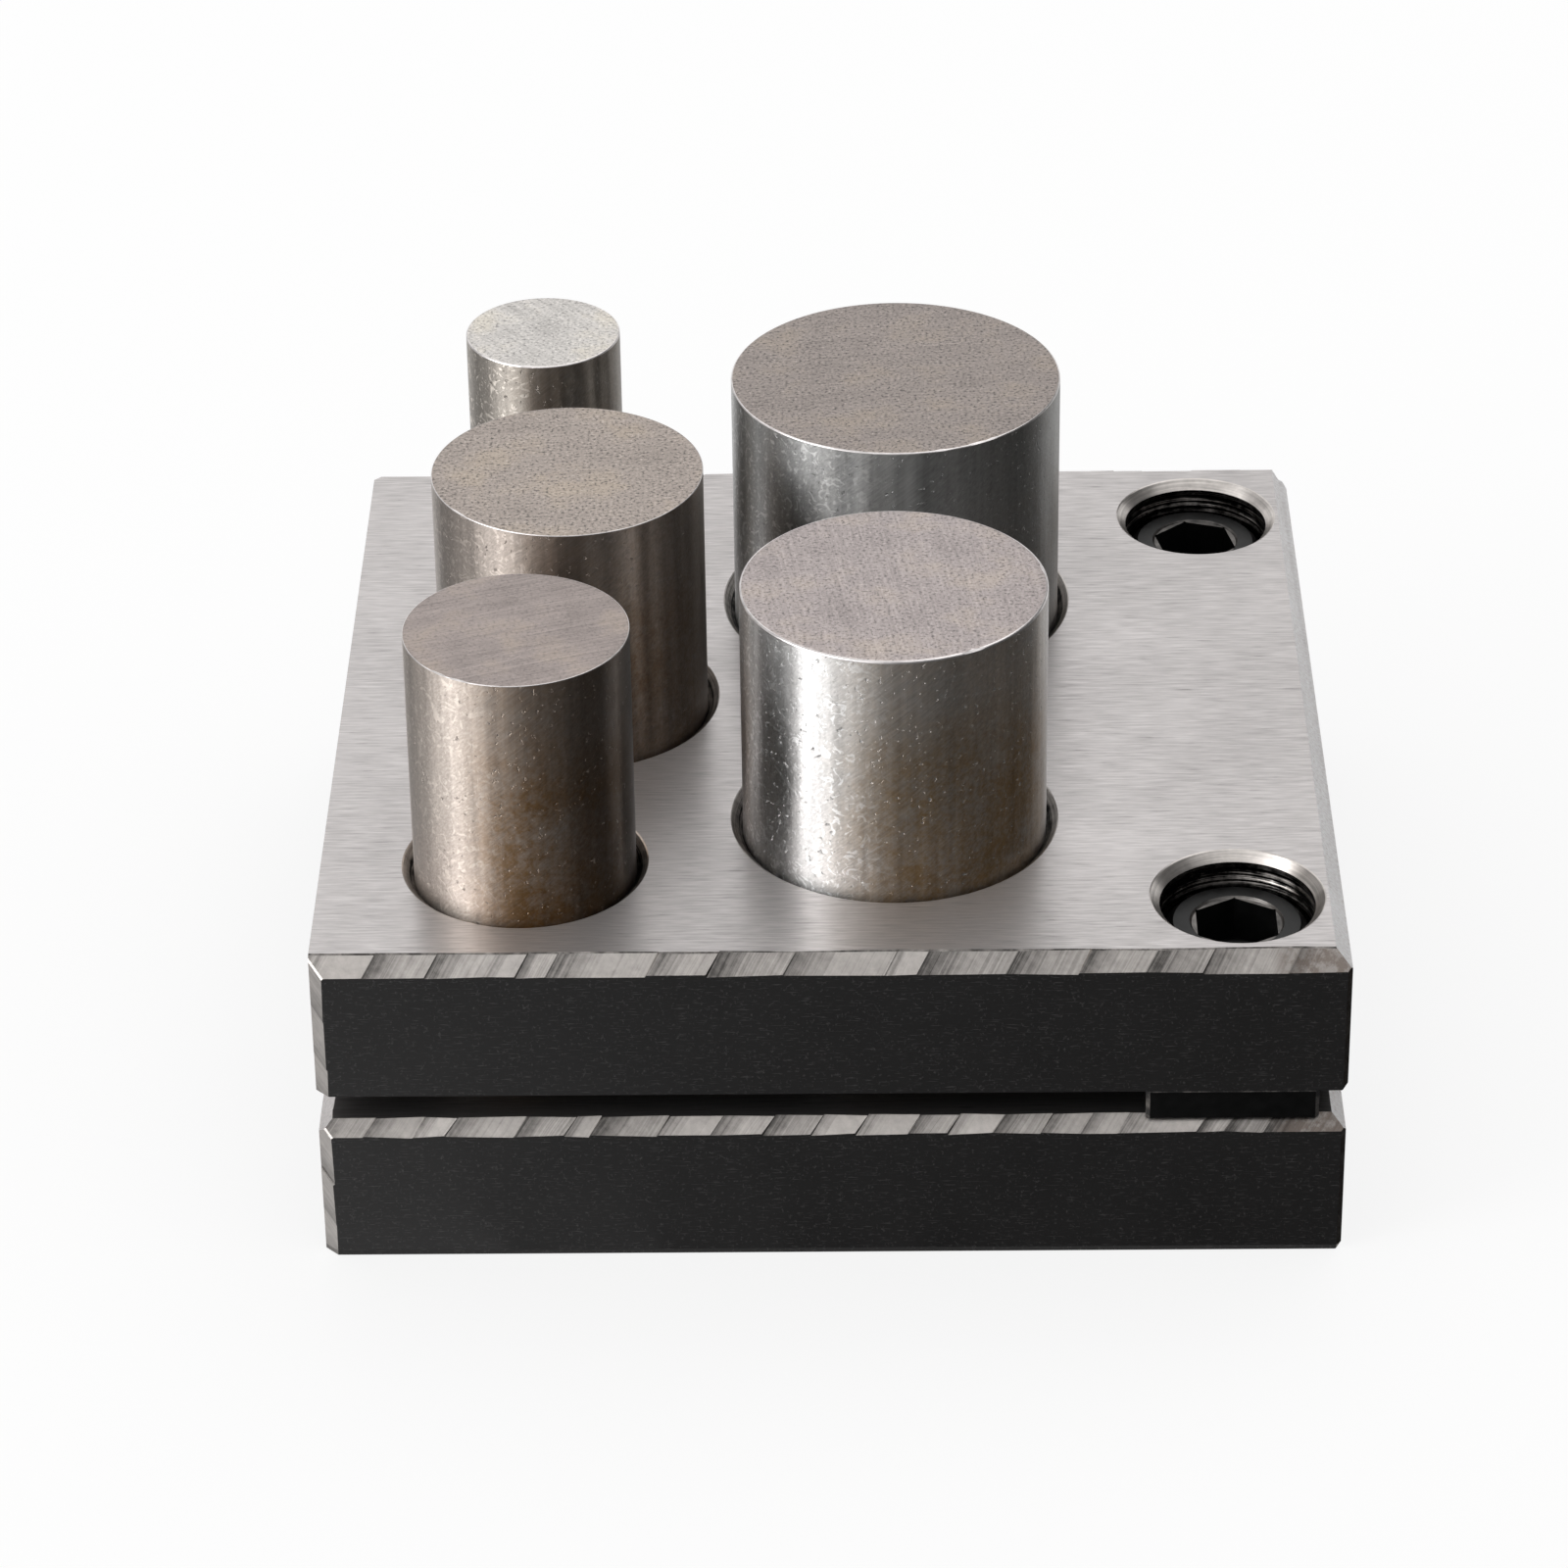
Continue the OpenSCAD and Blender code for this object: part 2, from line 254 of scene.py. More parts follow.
class FinishColours(bpy.types.PropertyGroup):
    """Colours of the steel in its different finishes"""

    ground: colour("Ground steel", "Surface ground faces of the plates", "#bab6b5")
    scale: colour("Mill scale", "Black sides of the plates", "#272626")
    milled: colour("Milled steel", "Chamfers cut with an end mill", "#b0aba7")
    stain: colour("Stain", "Old oil and heat tint, seen over white", "#c2a072")
    handling: colour("Handling", "Stain that hands leave, seen over white", "#b9b1ac")
    oxide: colour("Black oxide", "Screws and spacer bar", "#191919")


# Shaping


def deselect():
    """Leaves nothing selected."""
    bpy.ops.object.select_all(action="DESELECT")


def choose(piece):
    """Makes a piece the only one selected, and the active one."""
    deselect()
    bpy.context.view_layer.objects.active = piece
    piece.select_set(True)


@contextmanager
def shaping(piece):
    """Opens a piece in edit mode with all of it selected, and closes it again."""
    choose(piece)
    bpy.ops.object.mode_set(mode="EDIT")
    bpy.ops.mesh.select_all(action="SELECT")
    yield
    bpy.ops.object.mode_set(mode="OBJECT")


def pick(piece, kind, rule):
    """Selects only those faces, edges or corners of an open piece that a rule holds for."""
    bpy.ops.mesh.select_mode(type={"faces": "FACE", "edges": "EDGE", "verts": "VERT"}[kind])
    bpy.ops.mesh.select_all(action="DESELECT")
    mesh = bmesh.from_edit_mesh(piece.data)
    for part in getattr(mesh, kind):
        if rule(part):
            part.select_set(True)
    mesh.select_flush_mode()
    bmesh.update_edit_mesh(piece.data)


def finish_index(piece, finish):
    """The number of a finish among those of a piece, which gets it if it has to."""
    if piece.data.materials.find(finish.name) < 0:
        piece.data.materials.append(finish)
    return piece.data.materials.find(finish.name)


def finish_faces(piece, finish, rule):
    """Gives a finish to those faces of a piece whose normals a rule holds for."""
    index = finish_index(piece, finish)
    for face in piece.data.polygons:
        if rule(face.normal):
            face.material_index = index


def block(name, low, high):
    """A plain block between two corners, as a start for milling."""
    deselect()
    bpy.ops.mesh.primitive_cube_add(size=1, location=(low + high) / 2)
    piece = bpy.context.object
    piece.name = name
    piece.scale = high - low
    bpy.ops.object.transform_apply(location=True, rotation=False, scale=True)
    return piece


def corner_of(low, high, *sides):
    """A point of a block that lies on each of the named sides."""
    total = sum(sides, Vector())
    return Vector([high[i] if total[i] > 0 else low[i] if total[i] < 0 else 0 for i in range(3)])


def mill_edge(piece, low, high, one, other, size):
    """Mills a 45 degree chamfer on the edge between two sides of a block."""
    with shaping(piece):
        bpy.ops.mesh.bisect(
            plane_co=corner_of(low, high, one, other) - one * size,
            plane_no=one + other,
            use_fill=True,
            clear_outer=True,
            threshold=MERGE,
        )


def turned(name, centre, rows, sides=128, turn=0):
    """Turns a solid on an upright axis from rows of height, radius and finish, from its base up.

    A row's finish is that of the band up to it. The first row's is that of the base, and a last
    row of radius 0 gives only the finish of the top.
    """
    deselect()
    cap = rows[-1] if rows[-1][1] == 0 else rows[0]
    bands = [row for row in rows if row[1] > 0]
    height, radius, base_finish = bands[0]
    bpy.ops.mesh.primitive_circle_add(
        vertices=sides,
        radius=radius,
        fill_type="NGON",
        location=(centre.x, centre.y, height),
        rotation=(0, 0, turn),
    )
    piece = bpy.context.object
    piece.name = name
    bpy.ops.object.transform_apply(location=True, rotation=True, scale=False)
    middles = []
    with shaping(piece):
        for new_height, new_radius, finish in bands[1:]:
            bpy.ops.mesh.extrude_region_move(
                TRANSFORM_OT_translate={"value": (0, 0, new_height - height)},
            )
            share = new_radius / radius
            bpy.ops.transform.resize(
                value=(share, share, 1),
                center_override=(centre.x, centre.y, new_height),
            )
            middles.append(((height + new_height) / 2, (radius + new_radius) / 2, finish))
            height, radius = new_height, new_radius
        bpy.ops.mesh.select_all(action="SELECT")
        bpy.ops.mesh.normals_make_consistent(inside=False)
    inner = math.cos(math.pi / sides)
    for face in piece.data.polygons:
        reach = math.hypot(face.center.x - centre.x, face.center.y - centre.y) / inner
        if reach < NEAR:
            finish = base_finish if face.center.z < (bands[0][0] + height) / 2 else cap[2]
        else:
            finish = min(
                middles, key=lambda m: abs(m[0] - face.center.z) + abs(m[1] - reach),
            )[2]
        face.material_index = finish_index(piece, finish)
    return piece


def cut_away(piece, *cutters):
    """Cuts the cutters' shapes out of a piece, whose new faces take the cutters' finishes."""
    for cutter in cutters:
        choose(piece)
        cut = piece.modifiers.new("cut", "BOOLEAN")
        cut.operation = "DIFFERENCE"
        cut.solver = "EXACT"
        cut.material_mode = "TRANSFER"
        cut.object = cutter
        bpy.ops.object.modifier_apply(modifier=cut.name)
        bpy.data.objects.remove(cutter)


def float_layer(parts, name):
    """The layer of values of that name on a mesh's faces or corners, new if there is none."""
    return parts.layers.float.get(name) or parts.layers.float.new(name)


def mill_passes(plate, low, high, one, other, size, cuts, sizes, seed):
    """Cuts a chamfer into the slanting facets that the passes of an end mill leave.

    It notes on the faces how bright each pass is, partly as painted reflection of each facet,
    with the steps between passes painted dark as shade, and on their corners how far across the
    pass and along the edge they lie, for the finish to read.
    """
    dice = random.Random(seed)
    normal = (one + other).normalized()
    slope = (one - other).normalized()
    along = one.cross(other)
    lean = sizes.pass_lean / (size * math.sqrt(2))
    across = along - slope * lean
    corner = corner_of(low, high, one, other)
    middle = corner - (one + other) * size / 2
    half = sizes.pass_line / 2

    def on_chamfer(face):
        gap = abs((face.calc_center_median() - middle).dot(normal))
        return face.normal.dot(normal) > 0.99 and gap < NEAR

    with shaping(plate):
        for cut in cuts:
            for side in (-half, half):
                pick(plate, "faces", on_chamfer)
                bpy.ops.mesh.bisect(
                    plane_co=middle + along * (cut + side),
                    plane_no=across,
                    threshold=MERGE,
                )
    heights = [[dice.uniform(-1, 1) * sizes.pass_step for _ in "ab"] for _ in cuts]
    mesh = bmesh.new()
    mesh.from_mesh(plate.data)
    tone = float_layer(mesh.faces, "pass_tone")
    sweep = float_layer(mesh.loops, "pass_sweep")
    reach = float_layer(mesh.loops, "pass_reach")
    ends = sorted((low.dot(along), high.dot(along)))
    borders = [ends[0], *cuts, ends[1]]
    tones = [dice.random() for _ in borders]
    moves = {}
    for face in mesh.faces:
        if not on_chamfer(face):
            continue
        place = (face.calc_center_median() - middle).dot(across)
        number = sum(place > cut for cut in cuts)
        step = min(abs(place - cut) for cut in cuts) < half * 0.9
        # The steps between passes are painted dark, as painted shade, and each pass's tone stands
        # partly for its reflection
        face[tone] = 0.15 if step else 0.3 + 0.7 * tones[number]
        for loop in face.loops:
            at = (loop.vert.co - middle).dot(across)
            left, right = borders[number], borders[number + 1]
            loop[sweep] = 0.5 if step else min(1, max(0, (at - left) / (right - left)))
            loop[reach] = at
            for cut, (left_height, right_height) in zip(cuts, heights):
                if abs(abs(at - cut) - half) < NEARER:
                    rise = left_height if at < cut else right_height
                    on_one = abs((loop.vert.co - corner).dot(one)) < NEAR
                    moves[loop.vert] = (other if on_one else one) * rise * math.sqrt(2)
    for vert, move in moves.items():
        vert.co += move
    mesh.to_mesh(plate.data)
    mesh.free()


def even_passes(low, high, one, other, seed):
    """Ends of the end mill's passes along an edge, spaced unevenly."""
    dice = random.Random(seed)
    along = one.cross(other)
    reach = abs((high - low).dot(along)) / 2
    centre = ((high + low) / 2).dot(along)
    cuts = [centre - reach + dice.uniform(3, 6) * MM]
    while cuts[-1] < centre + reach - 7 * MM:
        cuts.append(cuts[-1] + dice.uniform(2.5, 7) * MM)
    return cuts


def top_edge(edge, high, side):
    """Whether an edge lies between the top face and the chamfer on one side of it."""
    normals = sorted((face.normal for face in edge.link_faces), key=lambda normal: -normal.z)
    return (
        len(normals) == 2
        and normals[0].z > 0.999
        and 0.5 < normals[1].z < 0.9
        and normals[1].dot(side) > 0.5
        and all(abs(vert.co.z - high.z) < NEARER for vert in edge.verts)
    )


def corner_edge(edge, low, high):
    """Whether an edge lies between the front chamfer and the upright one at its left."""
    normals = [face.normal for face in edge.link_faces]
    return (
        len(normals) == 2
        and (normals[0] + normals[1]).normalized().dot((UP + 2 * FRONT + LEFT).normalized()) > 0.99
        and all(vert.co.x < low.x + 3 * MM for vert in edge.verts)
        and all(vert.co.z > high.z - 3 * MM for vert in edge.verts)
    )


# Finishes


def shade(tone, share):
    """A colour made darker or lighter by a share, with its alpha kept."""
    return [min(1.0, part * share) for part in tone[:3]] + [1.0]


def add_node(tree, kind, inputs=None, **settings):
    """Adds a node with its settings, and fills its inputs with values or links.

    An input goes by its name, or by its number where names repeat. A node as a value stands for
    its first output in use.
    """
    node = tree.nodes.new(kind)
    for name, value in settings.items():
        setattr(node, name, value)
    for name, value in (inputs or {}).items():
        if isinstance(name, int):
            socket = node.inputs[name]
        else:
            socket = next(part for part in node.inputs if part.enabled and part.name == name)
        if isinstance(value, bpy.types.Node):
            value = next(output for output in value.outputs if output.enabled)
        if isinstance(value, bpy.types.NodeSocket):
            tree.links.new(value, socket)
        else:
            socket.default_value = value
    return node


def blank_finish(name):
    """A new material without nodes, and its node tree."""
    finish = bpy.data.materials.new(name)
    finish.use_nodes = True
    finish.node_tree.nodes.clear()
    return finish, finish.node_tree


def ground_steel(name, steel):
    """Tool steel, surface ground.

    The wheel leaves straight fine lines along X, so reflections are drawn out across them and
    stay sharp along them. Handling leaves it a little cloudy.
    """
    finish, tree = blank_finish(name)
    place = add_node(tree, COORDINATES).outputs["Object"]
    # Grinding lines 0.2 mm wide and some 3 mm long
    drawn = add_node(tree, MAPPING, {"Vector": place, "Scale": (260, 3600, 3600)})
    lines = add_node(tree, NOISE, {"Vector": drawn, "Scale": 1, "Detail": 3, "Roughness": 0.6})
    clouds = add_node(tree, NOISE, {"Vector": place, "Scale": 60, "Detail": 4, "Roughness": 0.6})
    mixed = add_node(tree, MIX, {"Factor": 0.3, "A": lines, "B": clouds})
    level = add_node(tree, RANGE, {"Value": mixed, "From Min": 0.35, "From Max": 0.65})
    tone = add_node(tree, MIX, {
        "Factor": level, "A": shade(steel, 0.8), "B": shade(steel, 1.16),
    }, data_type="RGBA")
    # Here and there a line is deeper, and oil has stayed in it
    deep = add_node(tree, RANGE, {
        "Value": lines, "From Min": 0.34, "From Max": 0.26, "To Max": 0.5,
    })
    tone = add_node(tree, MIX, {
        "Factor": deep, "A": tone, "B": shade(steel, 0.35),
    }, data_type="RGBA")
    rough = add_node(tree, RANGE, {"Value": level, "To Min": 0.46, "To Max": 0.38})
    relief = add_node(tree, BUMP, {"Height": lines, "Strength": 0.5, "Distance": 0.004 * MM})
    across = add_node(tree, "ShaderNodeCombineXYZ", {"X": 0, "Y": 1, "Z": 0})
    shader = add_node(tree, PRINCIPLED, {
        "Base Color": tone,
        "Metallic": 1.0,
        "Roughness": rough,
        "Anisotropic": 0.8,
        "Tangent": across,
        "Normal": relief,
    })
    add_node(tree, OUTPUT, {"Surface": shader})
    return finish


def mill_scale(name, scale):
    """Black scale from the rolling mill, on the sides of the plates.

    It looks like matt charcoal, with fine bright specks and short level scratches where the
    steel shows through.
    """
    finish, tree = blank_finish(name)
    place = add_node(tree, COORDINATES).outputs["Object"]
    grain = add_node(tree, NOISE, {"Vector": place, "Scale": 3200, "Detail": 2, "Roughness": 0.6})
    # Scratches 0.12 mm wide and 1.5 mm long
    drawn = add_node(tree, MAPPING, {"Vector": place, "Scale": (650, 650, 8000)})
    dashes = add_node(tree, NOISE, {"Vector": drawn, "Scale": 1, "Detail": 1, "Roughness": 0.5})
    specks = add_node(tree, RANGE, {"Value": grain, "From Min": 0.6, "From Max": 0.76})
    scratches = add_node(tree, RANGE, {"Value": dashes, "From Min": 0.62, "From Max": 0.74})
    marks = add_node(tree, MATH, {0: specks, 1: scratches}, operation="MAXIMUM")
    clouds = add_node(tree, NOISE, {"Vector": place, "Scale": 120, "Detail": 4, "Roughness": 0.6})
    body = add_node(tree, MIX, {
        "Factor": clouds, "A": shade(scale, 0.7), "B": shade(scale, 1.25),
    }, data_type="RGBA")
    tone = add_node(tree, MIX, {
        "Factor": marks, "A": body, "B": shade(scale, 3.6),
    }, data_type="RGBA")
    rough = add_node(tree, RANGE, {"Value": grain, "To Min": 0.62, "To Max": 0.42})
    relief = add_node(tree, BUMP, {"Height": grain, "Strength": 0.5, "Distance": 0.03 * MM})
    shader = add_node(tree, PRINCIPLED, {
        "Base Color": tone, "Roughness": rough, "Specular IOR Level": 0.25, "Normal": relief,
    })
    add_node(tree, OUTPUT, {"Surface": shader})
    return finish


def milled_steel(name, dark, light, handling):
    """Tool steel cut by an end mill.

    Each pass has its own brightness, partly its finish and partly painted reflection, painted
    shade where it starts, and fine lines that lean with it.
    """
    finish, tree = blank_finish(name)
    tone_of_pass = add_node(tree, ATTRIBUTE, attribute_name="pass_tone")
    sweep = add_node(tree, ATTRIBUTE, attribute_name="pass_sweep")
    reach = add_node(tree, ATTRIBUTE, attribute_name="pass_reach")
    # Lines 0.3 mm apart, as the cutter's teeth leave them
    lines = add_node(tree, NOISE, {
        "W": reach.outputs["Fac"], "Scale": 2200, "Detail": 4, "Roughness": 0.75,
    }, noise_dimensions="1D")
    # Painted shade, darkest where each pass starts
    start_shade = add_node(tree, RANGE, {
        "Value": sweep.outputs["Fac"], "From Max": 0.5, "To Min": -0.35, "To Max": 0.15,
    })
    rest = add_node(tree, MATH, {
        0: tone_of_pass.outputs["Fac"], 1: 0.55, 2: start_shade,
    }, operation="MULTIPLY_ADD")
    level = add_node(tree, MATH, {
        0: lines, 1: 0.9, 2: rest,
    }, operation="MULTIPLY_ADD", use_clamp=True)
    # Mottling 1 mm across, where the cutter rubbed
    place = add_node(tree, COORDINATES).outputs["Object"]
    patches = add_node(tree, NOISE, {"Vector": place, "Scale": 1000, "Detail": 5, "Roughness": 0.7})
    level = add_node(tree, MATH, {0: patches, 1: 0.6, 2: level}, operation="MULTIPLY_ADD")
    contrast = add_node(tree, RANGE, {"Value": level, "From Min": 0.6, "From Max": 1.5})
    tone = add_node(tree, MIX, {"Factor": contrast, "A": dark, "B": light}, data_type="RGBA")
    # Handling has stained the ends at the right, in blots
    clean, stained_through = 42.5 * MM, 45 * MM
    parts = add_node(tree, "ShaderNodeSeparateXYZ", {"Vector": place})
    handled = add_node(tree, RANGE, {
        "Value": parts.outputs["X"], "From Min": clean, "From Max": stained_through,
    }, interpolation_type="SMOOTHSTEP")
    blots = add_node(tree, RANGE, {
        "Value": patches, "From Min": 0.4, "From Max": 0.56, "To Min": 0.25,
    })
    stained = add_node(tree, MATH, {0: handled, 1: blots}, operation="MULTIPLY")
    tone = add_node(tree, MIX, {
        "Factor": stained, "A": tone, "B": handling,
    }, data_type="RGBA", blend_type="MULTIPLY")
    relief = add_node(tree, BUMP, {"Height": lines, "Strength": 0.6, "Distance": 0.02 * MM})
    shader = add_node(tree, PRINCIPLED, {
        "Base Color": tone, "Metallic": 1.0, "Roughness": 0.36, "Normal": relief,
    })
    add_node(tree, OUTPUT, {"Surface": shader})
    return finish


def patchy_steel(name, grain, worn, dark, light, roughness, metallic=None):
    """Steel that is bright in uneven patches, as many to the metre as the grain says.

    The pattern's two values in worn are where wear begins and where it is full. Without a
    metallic share, the dark patches still have their scale and aren't bare metal.
    """
    finish, tree = blank_finish(name)
    place = add_node(tree, COORDINATES).outputs["Object"]
    patches = add_node(tree, NOISE, {
        "Vector": place, "Scale": grain, "Detail": 4, "Roughness": 0.7,
    })
    bare = add_node(tree, RANGE, {"Value": patches, "From Min": worn[0], "From Max": worn[1]})
    tone = add_node(tree, MIX, {"Factor": bare, "A": dark, "B": light}, data_type="RGBA")
    shader = add_node(tree, PRINCIPLED, {
        "Base Color": tone, "Metallic": metallic or bare, "Roughness": roughness,
    })
    add_node(tree, OUTPUT, {"Surface": shader})
    return finish


def turned_steel(name, dark, light, roughness, grime=0.0):
    """Steel cut by a countersink or a boring bar, with rings round the hole.

    Where there is grime, old oil fills the rings and only their crests shine.
    """
    finish, tree = blank_finish(name)
    place = add_node(tree, COORDINATES).outputs["Object"]
    # Rings 0.15 mm apart, broken up every 10 mm or so
    drawn = add_node(tree, MAPPING, {"Vector": place, "Scale": (100, 100, 7000)})
    rings = add_node(tree, NOISE, {"Vector": drawn, "Scale": 1, "Detail": 3, "Roughness": 0.6})
    patches = add_node(tree, NOISE, {"Vector": place, "Scale": 700, "Detail": 3, "Roughness": 0.6})
    mixed = add_node(tree, MIX, {"Factor": 0.35, "A": rings, "B": patches})
    level = add_node(tree, RANGE, {
        "Value": mixed, "From Min": 0.35 + grime, "From Max": 0.65 + grime / 2,
    })
    tone = add_node(tree, MIX, {"Factor": level, "A": dark, "B": light}, data_type="RGBA")
    relief = add_node(tree, BUMP, {"Height": rings, "Strength": 0.6, "Distance": 0.015 * MM})
    shader = add_node(tree, PRINCIPLED, {
        "Base Color": tone, "Metallic": 1.0, "Roughness": roughness, "Normal": relief,
    })
    add_node(tree, OUTPUT, {"Surface": shader})
    return finish


def black_oxide(name, oxide):
    """Oiled black oxide on steel, as on socket screws: a deep black with a soft sheen."""
    finish, tree = blank_finish(name)
    place = add_node(tree, COORDINATES).outputs["Object"]
    patches = add_node(tree, NOISE, {"Vector": place, "Scale": 800, "Detail": 4, "Roughness": 0.65})
    tone = add_node(tree, MIX, {
        "Factor": patches, "A": shade(oxide, 0.3), "B": shade(oxide, 1.6),
    }, data_type="RGBA")
    rough = add_node(tree, RANGE, {"Value": patches, "To Min": 0.2, "To Max": 0.5})
    relief = add_node(tree, BUMP, {"Height": patches, "Strength": 0.4, "Distance": 0.02 * MM})
    shader = add_node(tree, PRINCIPLED, {
        "Base Color": tone, "Metallic": 0.6, "Roughness": rough, "Normal": relief,
    })
    add_node(tree, OUTPUT, {"Surface": shader})
    return finish


def punch_side(node, look, colours):
    """The side of a punch: ground and polished tool steel.

    The lines run round it, so lights are drawn out into upright streaks. Old oil and heat from
    the hammer leave brown blots on one side, and knocks leave small dents. The bright scuffs on
    the left side are partly rubbing and partly painted glints, and the right side is painted
    dark as painted shade.
    """
    centre, radius = axis_of(node)
    side = linear(look.side)
    finish, tree = blank_finish(node + "_polished_side")
    place = add_node(tree, COORDINATES).outputs["Object"]
    # Millimetres from the punch's own axis
    local = add_node(tree, MAPPING, {
        "Vector": place,
        "Location": (-centre.x / MM, -centre.y / MM, look.seed * SEED_STEP),
        "Scale": (1 / MM, 1 / MM, 1 / MM),
    })
    # Upright streaks 1 mm wide and 30 mm long
    upright = add_node(tree, MAPPING, {"Vector": local, "Scale": (0.9, 0.9, 0.03)})
    streaks = add_node(tree, NOISE, {"Vector": upright, "Scale": 1, "Detail": 3, "Roughness": 0.6})
    # Grinding lines 0.15 mm apart round the punch
    level_drawn = add_node(tree, MAPPING, {"Vector": local, "Scale": (0.12, 0.12, 7)})
    lines = add_node(tree, NOISE, {
        "Vector": level_drawn, "Scale": 1, "Detail": 2, "Roughness": 0.6,
    })
    # Blots of oil 6 mm across, mottled down to 0.4 mm
    blots = add_node(tree, NOISE, {"Vector": local, "Scale": 0.16, "Detail": 5, "Roughness": 0.75})
    skin = add_node(tree, NOISE, {"Vector": local, "Scale": 1.6, "Detail": 4, "Roughness": 0.7})
    blots = add_node(tree, MIX, {"Factor": 0.4, "A": blots, "B": skin})
    dents = add_node(tree, NOISE, {"Vector": local, "Scale": 1.7, "Detail": 3, "Roughness": 0.6})
    # The stain is strongest towards its azimuth and on the lower two thirds
    turn = math.radians(look.towards)
    facing = add_node(tree, "ShaderNodeVectorMath", {
        0: local, 1: Vector((math.cos(turn), math.sin(turn), 0)) * MM / radius,
    }, operation="DOT_PRODUCT")
    near = add_node(tree, RANGE, {
        "Value": facing, "From Min": 0.45, "From Max": 0.95,
    }, interpolation_type="SMOOTHSTEP")
    parts = add_node(tree, "ShaderNodeSeparateXYZ", {"Vector": local})
    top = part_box(node)[1].z / MM + look.seed * SEED_STEP
    lower = add_node(tree, RANGE, {
        "Value": parts.outputs["Z"],
        "From Min": top - 16,
        "From Max": top - 3,
        "To Min": 1.0,
        "To Max": 0.5,
    }, interpolation_type="SMOOTHSTEP")
    blotted = add_node(tree, RANGE, {
        "Value": blots, "From Min": 0.34 - look.even, "From Max": 0.58,
    })
    stained = near
    for share in (lower, blotted, look.stain):
        stained = add_node(tree, MATH, {0: stained, 1: share}, operation="MULTIPLY")
    # Slanting scratches 0.2 mm wide and 3 mm long, from wiping
    slanting = add_node(tree, MAPPING, {
        "Vector": local, "Rotation": (0, math.radians(-40), 0), "Scale": (3, 0.2, 0.2),
    }, vector_type="TEXTURE")
    scratches = add_node(tree, NOISE, {
        "Vector": slanting, "Scale": 1, "Detail": 2, "Roughness": 0.6,
    })
    surface = add_node(tree, MIX, {"Factor": 0.5, "A": streaks, "B": scratches})
    surface = add_node(tree, RANGE, {"Value": surface, "From Min": 0.32, "From Max": 0.68})
    steel = add_node(tree, MIX, {
        "Factor": surface, "A": shade(side, 0.68), "B": shade(side, 1.22),
    }, data_type="RGBA")
    tone = add_node(tree, MIX, {
        "Factor": stained, "A": steel, "B": colours.stain,
    }, data_type="RGBA", blend_type="MULTIPLY")
    # The side towards the right is painted dark, as painted shade
    inside, edge = 0.1 * radius / MM, 0.9 * radius / MM
    right_shade_mask = add_node(tree, RANGE, {
        "Value": parts.outputs["X"], "From Min": inside, "From Max": edge, "To Max": look.dusk,
    }, interpolation_type="SMOOTHSTEP")
    tone = add_node(tree, MIX, {
        "Factor": right_shade_mask, "A": tone, "B": shade(side, 0.08),
    }, data_type="RGBA")
    knocks = add_node(tree, RANGE, {"Value": dents, "From Min": 0.64, "From Max": 0.73})
    tone = add_node(tree, MIX, {
        "Factor": knocks, "A": tone, "B": shade(side, 0.6),
    }, data_type="RGBA")
    # Bright scuffs curl over the side towards the left, 0.4 mm wide, only on the lit side: partly
    # rubbing marks and partly painted glints
    curls = add_node(tree, NOISE, {
        "Vector": local, "Scale": 0.7, "Detail": 2, "Roughness": 0.5, "Distortion": 2.5,
    })
    scuff_glints = add_node(tree, RANGE, {
        "Value": curls, "From Min": 0.56, "From Max": 0.64, "To Max": look.scuffs,
    })
    lit_left = add_node(tree, RANGE, {
        "Value": parts.outputs["X"], "From Min": inside, "From Max": -0.6 * radius / MM,
    }, interpolation_type="SMOOTHSTEP")
    scuff_glints = add_node(tree, MATH, {0: scuff_glints, 1: lit_left}, operation="MULTIPLY")
    tone = add_node(tree, MIX, {
        "Factor": scuff_glints, "A": tone, "B": shade(side, 2.4),
    }, data_type="RGBA")
    rough = add_node(tree, RANGE, {
        "Value": blots, "From Min": 0.3, "From Max": 0.7, "To Min": 0.3, "To Max": 0.44,
    })
    relief = add_node(tree, BUMP, {"Height": lines, "Strength": 0.4, "Distance": 0.004 * MM})
    relief = add_node(tree, BUMP, {
        "Height": skin, "Strength": 0.5, "Distance": 0.035 * MM, "Normal": relief,
    })
    relief = add_node(tree, BUMP, {
        "Height": knocks, "Strength": 1.0, "Distance": 0.05 * MM, "Normal": relief,
    }, invert=True)
    upwards = add_node(tree, "ShaderNodeCombineXYZ", {"X": 0, "Y": 0, "Z": 1})
    shader = add_node(tree, PRINCIPLED, {
        "Base Color": tone,
        "Metallic": 1.0,
        "Roughness": rough,
        "Anisotropic": 0.9,
        "Tangent": upwards,
        "Normal": relief,
    })
    add_node(tree, OUTPUT, {"Surface": shader})
    return finish


